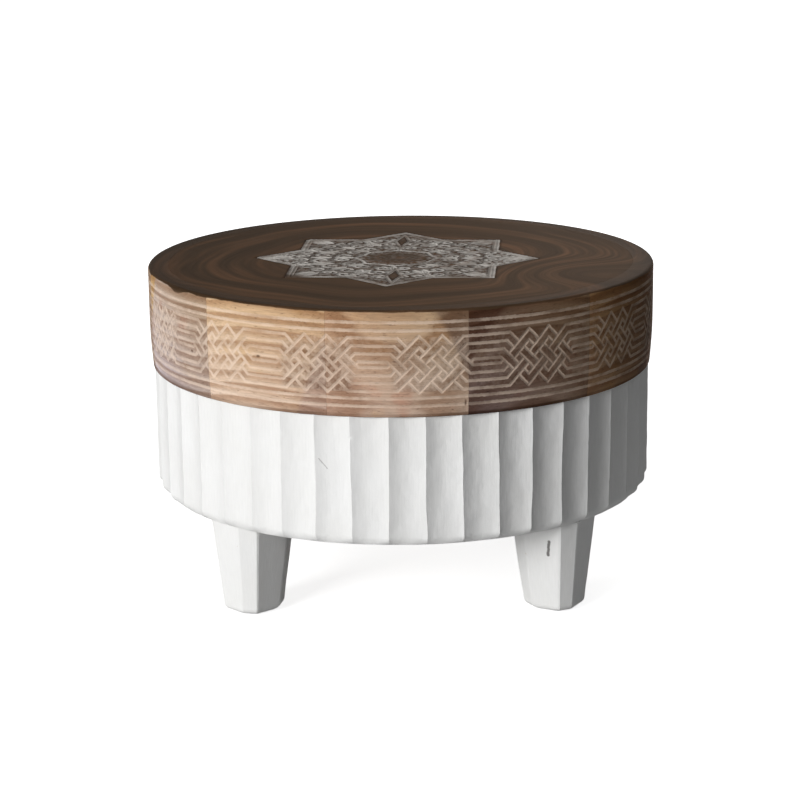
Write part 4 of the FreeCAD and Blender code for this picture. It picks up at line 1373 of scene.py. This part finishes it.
def tip_motif():
    """The end of a tip: leaves laid close together."""
    lines = leaf(Vector((0.106, 0)), Vector((0.133, 0)), 0.0042)
    for side in (-1, 1):
        lines += leaf(Vector((0.105, 0.004 * side)), Vector((0.122, 0.0065 * side)), 0.0022)
    return lines


def star_lines():
    """The outlines and the filling. The eighths nearest to and furthest from the front are plain."""
    lines = []
    for radius in (STAR_RADIUS, STAR_RADIUS - OUTLINE_GAP):
        lines += polyline(star_outline(radius), closed=True)
    lines += polyline(zigzag(CORE_TIP_RADIUS, CORE_RADIUS), closed=True)
    motif = half_motif()
    motif += [(Vector((a.x, -a.y)), Vector((b.x, -b.y))) for a, b in motif]
    for eighth in range(8):
        turn = Matrix.Rotation(eighth * EIGHTH, 2)
        filling = motif + tip_motif()
        if eighth in LOZENGE_SHIFTS:
            shift = LOZENGE_SHIFTS[eighth]
            filling = [(a, b) for a, b in motif if not in_lozenge(a, shift) and not in_lozenge(b, shift)]
            filling += lozenge(shift)
        for start, end in filling:
            lines.append((turn @ start, turn @ end))
    return lines


star_plan = draw_lines("star_plan", star_lines())
print("lines in the star:", len(star_plan.data.edges))

# %% [markdown]
# The board is a disc of rings and spokes. The rings are close together under the star, where
# the lines are cut, and far apart outside it. The bare wood between the scrolls keeps a film
# of whitewash, so the star's own area is marked on the mesh too.

# %% Make and carve the board
BOARD_BASE = LEDGE_HEIGHT
BOARD_SPOKES = 720
BOARD_EASE = 0.0001
INNER_RINGS = (0.012, 0.022, 0.029)
FIRST_STAR_RING = 0.033
STAR_RING_STEP = 0.00125
STAR_RING_MARGIN = 0.004
OUTER_RINGS = (0.15, 0.175, 0.2, 0.218)
FILM_INSET = 0.003
STAR_HAZE = 0.6
CORE_HAZE = 0.16
# Whitewash has run over the rim of the bare core: the radii where it begins and is full
CORE_FADE = (0.024, 0.034)
TIP_HAZE = 1.6
STAR_LINE_HALF_WIDTH = 0.0019
STAR_DEPTH = 0.0009
WORN_TIP = (-0.0983, -0.0983)
WORN_REACH = 0.026
OUTLINE_WEAR = 0.45
TIP_WEAR = 0.14
LOZENGE_WEAR = 0.5
LOZENGE_FILM = 0.25


def board_profile():
    """Radius and height of each ring, from the middle of the top to the middle underneath."""
    rings = [(radius, BAND_TOP) for radius in INNER_RINGS]
    reach = FIRST_STAR_RING
    while reach < STAR_RADIUS + STAR_RING_MARGIN:
        rings.append((reach, BAND_TOP))
        reach += STAR_RING_STEP
    rings += [(radius, BAND_TOP) for radius in OUTER_RINGS]
    rings += [(BOARD_RADIUS - BOARD_EASE, BAND_TOP), (BOARD_RADIUS, BAND_TOP - BOARD_EASE),
              (BOARD_RADIUS, BOARD_BASE), (0.1, BOARD_BASE)]
    return rings


def make_board():
    profile = board_profile()
    angles = np.linspace(0, 2 * math.pi, BOARD_SPOKES, endpoint=False)
    points = sweep_points(profile, angles)
    rows = len(profile)
    top, under = len(points), len(points) + 1
    points = np.vstack((points, ((0, 0, BAND_TOP), (0, 0, BOARD_BASE))))
    last = rows - 1
    here = np.arange(BOARD_SPOKES) * rows
    after = np.roll(here, -1)
    spokes = list(zip(here.tolist(), after.tolist()))
    faces = [(top, a, b) for a, b in spokes]
    faces += [(under, b + last, a + last) for a, b in spokes]
    for row in range(last):
        quads = np.stack((here + row, here + row + 1, after + row + 1, after + row), -1)
        faces += [tuple(quad) for quad in quads.tolist()]
    return add_piece("carved_board", points.tolist(), [], faces)


def dress_board(board):
    points = mesh_points(board.data)
    shift = points[:, :2] - np.array(STAR_CENTRE)
    cosine, sine = math.cos(-STAR_TURN), math.sin(-STAR_TURN)
    x = shift[:, 0] * cosine - shift[:, 1] * sine
    y = shift[:, 0] * sine + shift[:, 1] * cosine
    on_top = points[:, 2] > BAND_TOP - BOARD_EASE / 2
    zero = np.zeros(len(points))
    store(board.data, "plan_place", np.stack((x, y, zero), -1))
    store(board.data, "outward", np.stack((zero, zero, on_top * 1.0), -1))
    half_side = (STAR_RADIUS - FILM_INSET) * math.cos(EIGHTH)
    square_reach = np.maximum(np.abs(x), np.abs(y))
    diamond_reach = (np.abs(x) + np.abs(y)) * math.cos(EIGHTH)
    from_edge = half_side - np.minimum(square_reach, diamond_reach)
    beside = np.where(y < 0, x - LOZENGE_SHIFTS[6], x + LOZENGE_SHIFTS[2])
    from_lozenge = np.abs(beside) / LOZENGE_HALF_WIDTH
    from_lozenge += np.abs(np.abs(y) - LOZENGE_MIDDLE) / LOZENGE_HALF_LENGTH
    in_tip = np.abs(x) > half_side
    film = np.where(in_tip, TIP_HAZE, STAR_HAZE)
    film = np.where(from_lozenge < 1, LOZENGE_FILM * film, film)
    film = CORE_HAZE + (film - CORE_HAZE) * smooth_step(np.hypot(x, y), *CORE_FADE)
    store(board.data, "haze", film * ((from_edge > 0) & on_top))
    from_worn_tip = np.hypot(x - WORN_TIP[0], y - WORN_TIP[1])
    corner_wear = 1 - smooth_step(from_worn_tip, WORN_REACH / 3, WORN_REACH)
    edge_wear = np.where(in_tip, TIP_WEAR, OUTLINE_WEAR * (1 - smooth_step(from_edge, 0.003, 0.006)))
    lozenge_wear = LOZENGE_WEAR * (1 - smooth_step(from_lozenge, 1.1, 1.6))
    store(board.data, "wear", np.maximum(np.maximum(corner_wear, lozenge_wear), edge_wear))


board = make_board()
dress_board(board)
shape_with(board, CARVE_ALONG_LINES, {
    "Lines": star_plan, "Half Width": STAR_LINE_HALF_WIDTH, "Depth": STAR_DEPTH,
    "Waver": 0.0006, "Waver Scale": 45.0, "Material": STAINED_WOOD})
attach(board, "root")
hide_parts("top_board")
for plan in (interlace_plan, star_plan):
    bpy.data.objects.remove(plan)
print("board faces:", len(board.data.polygons))

# %% [markdown]
# ## Floor and light
#
# The photograph was taken in a bright, plain studio: a large soft lamp low at the front left,
# and only weak light from the other side, so the stool's right side falls into shade. A weak
# lamp high up behind keeps the sides that the photograph does not show from going black.
#
# The floor and the backdrop are white to the camera and to gloss, and the floor keeps the
# stool's faint shadow. So much white would lay a pale sheen on the dark top, which the
# photograph does not have, so the finishes of the wood hardly shine at all. Close to the
# stool the floor throws light up at the legs, further off it throws little.

# %% Make the floor
FLOOR_SIZE = 30.0
NEAR_BOUNCE = color(198, 198, 198)
FAR_BOUNCE = color(90, 90, 92)
SEEN_FLOOR = color(232, 232, 232)
# Distances from the stool's axis over which the bounce falls off and the shadow's gray ends
BOUNCE_FADE = (0.6, 1.1)
GLOW_FADE = (0.4, 1.6)
GLOW_NEAR = 0.84


def make_floor():
    half = FLOOR_SIZE / 2
    corners = [(-half, -half, 0), (half, -half, 0), (half, half, 0), (-half, half, 0)]
    floor = add_piece("studio_floor", corners, [], [(0, 1, 2, 3)])
    material, tree, shader = new_material("studio_floor", 0.0)
    shader.inputs["Roughness"].default_value = 0.9
    seen = seen_directly(tree)
    distance = length_of(object_place(tree))
    bounce = mix_colors(ease(distance, *BOUNCE_FADE), NEAR_BOUNCE, FAR_BOUNCE)
    tree.links.new(mix_colors(seen, bounce, SEEN_FLOOR), shader.inputs["Base Color"])
    strength = times(ease(distance, *GLOW_FADE, GLOW_NEAR, 1.0), seen)
    glow = next_node("ShaderNodeEmission", {"Color": (1, 1, 1, 1), "Strength": strength})
    choice = next_node("ShaderNodeAddShader", {0: shader.outputs[0], 1: glow.outputs[0]})
    tree.links.new(choice.outputs[0], tree.nodes["Material Output"].inputs["Surface"])
    floor.data.materials.append(material)


make_floor()


# %% Light the studio
FILL_STRENGTH = 0.15
FILL_LEAN = 0.6
FILL_SIDE = (-0.6, -0.8, 0.0)
LAMP_AIM = Vector((0, 0, 0.2))


def make_lamp(name, place, size, power):
    data = bpy.data.lights.new(name, "AREA")
    data.shape = "SQUARE"
    data.size = size
    data.energy = power
    lamp = bpy.data.objects.new(name, data)
    scene.collection.objects.link(lamp)
    lamp.location = place
    lamp.rotation_euler = (LAMP_AIM - Vector(place)).to_track_quat("-Z", "Y").to_euler()


def light_world():
    world = bpy.data.worlds.new("studio")
    scene.world = world
    world.use_nodes = True
    tree = world.node_tree
    seen = seen_directly(tree)
    way = tree.nodes.new("ShaderNodeTexCoord").outputs["Generated"]
    level = remap(vector_step("DOT_PRODUCT", way, FILL_SIDE), -1.0, 1.0,
                  FILL_STRENGTH * (1 - FILL_LEAN), FILL_STRENGTH * (1 + FILL_LEAN))
    soft = next_node("ShaderNodeBackground", {"Color": (0.96, 0.97, 0.98, 1.0), "Strength": level})
    white = add_node(tree, "ShaderNodeBackground", {"Color": (1, 1, 1, 1), "Strength": 1.0})
    choice = next_node("ShaderNodeMixShader", {0: seen, 1: soft.outputs[0], 2: white.outputs[0]})
    tree.links.new(choice.outputs[0], tree.nodes["World Output"].inputs["Surface"])


make_lamp("window_left", (-1.97, -2.40, 0.98), size=1.5, power=91.5)
make_lamp("wall_behind", (1.0, 2.9, 1.9), size=1.8, power=34)
light_world()
print("lamps:", [light.name for light in bpy.data.lights])
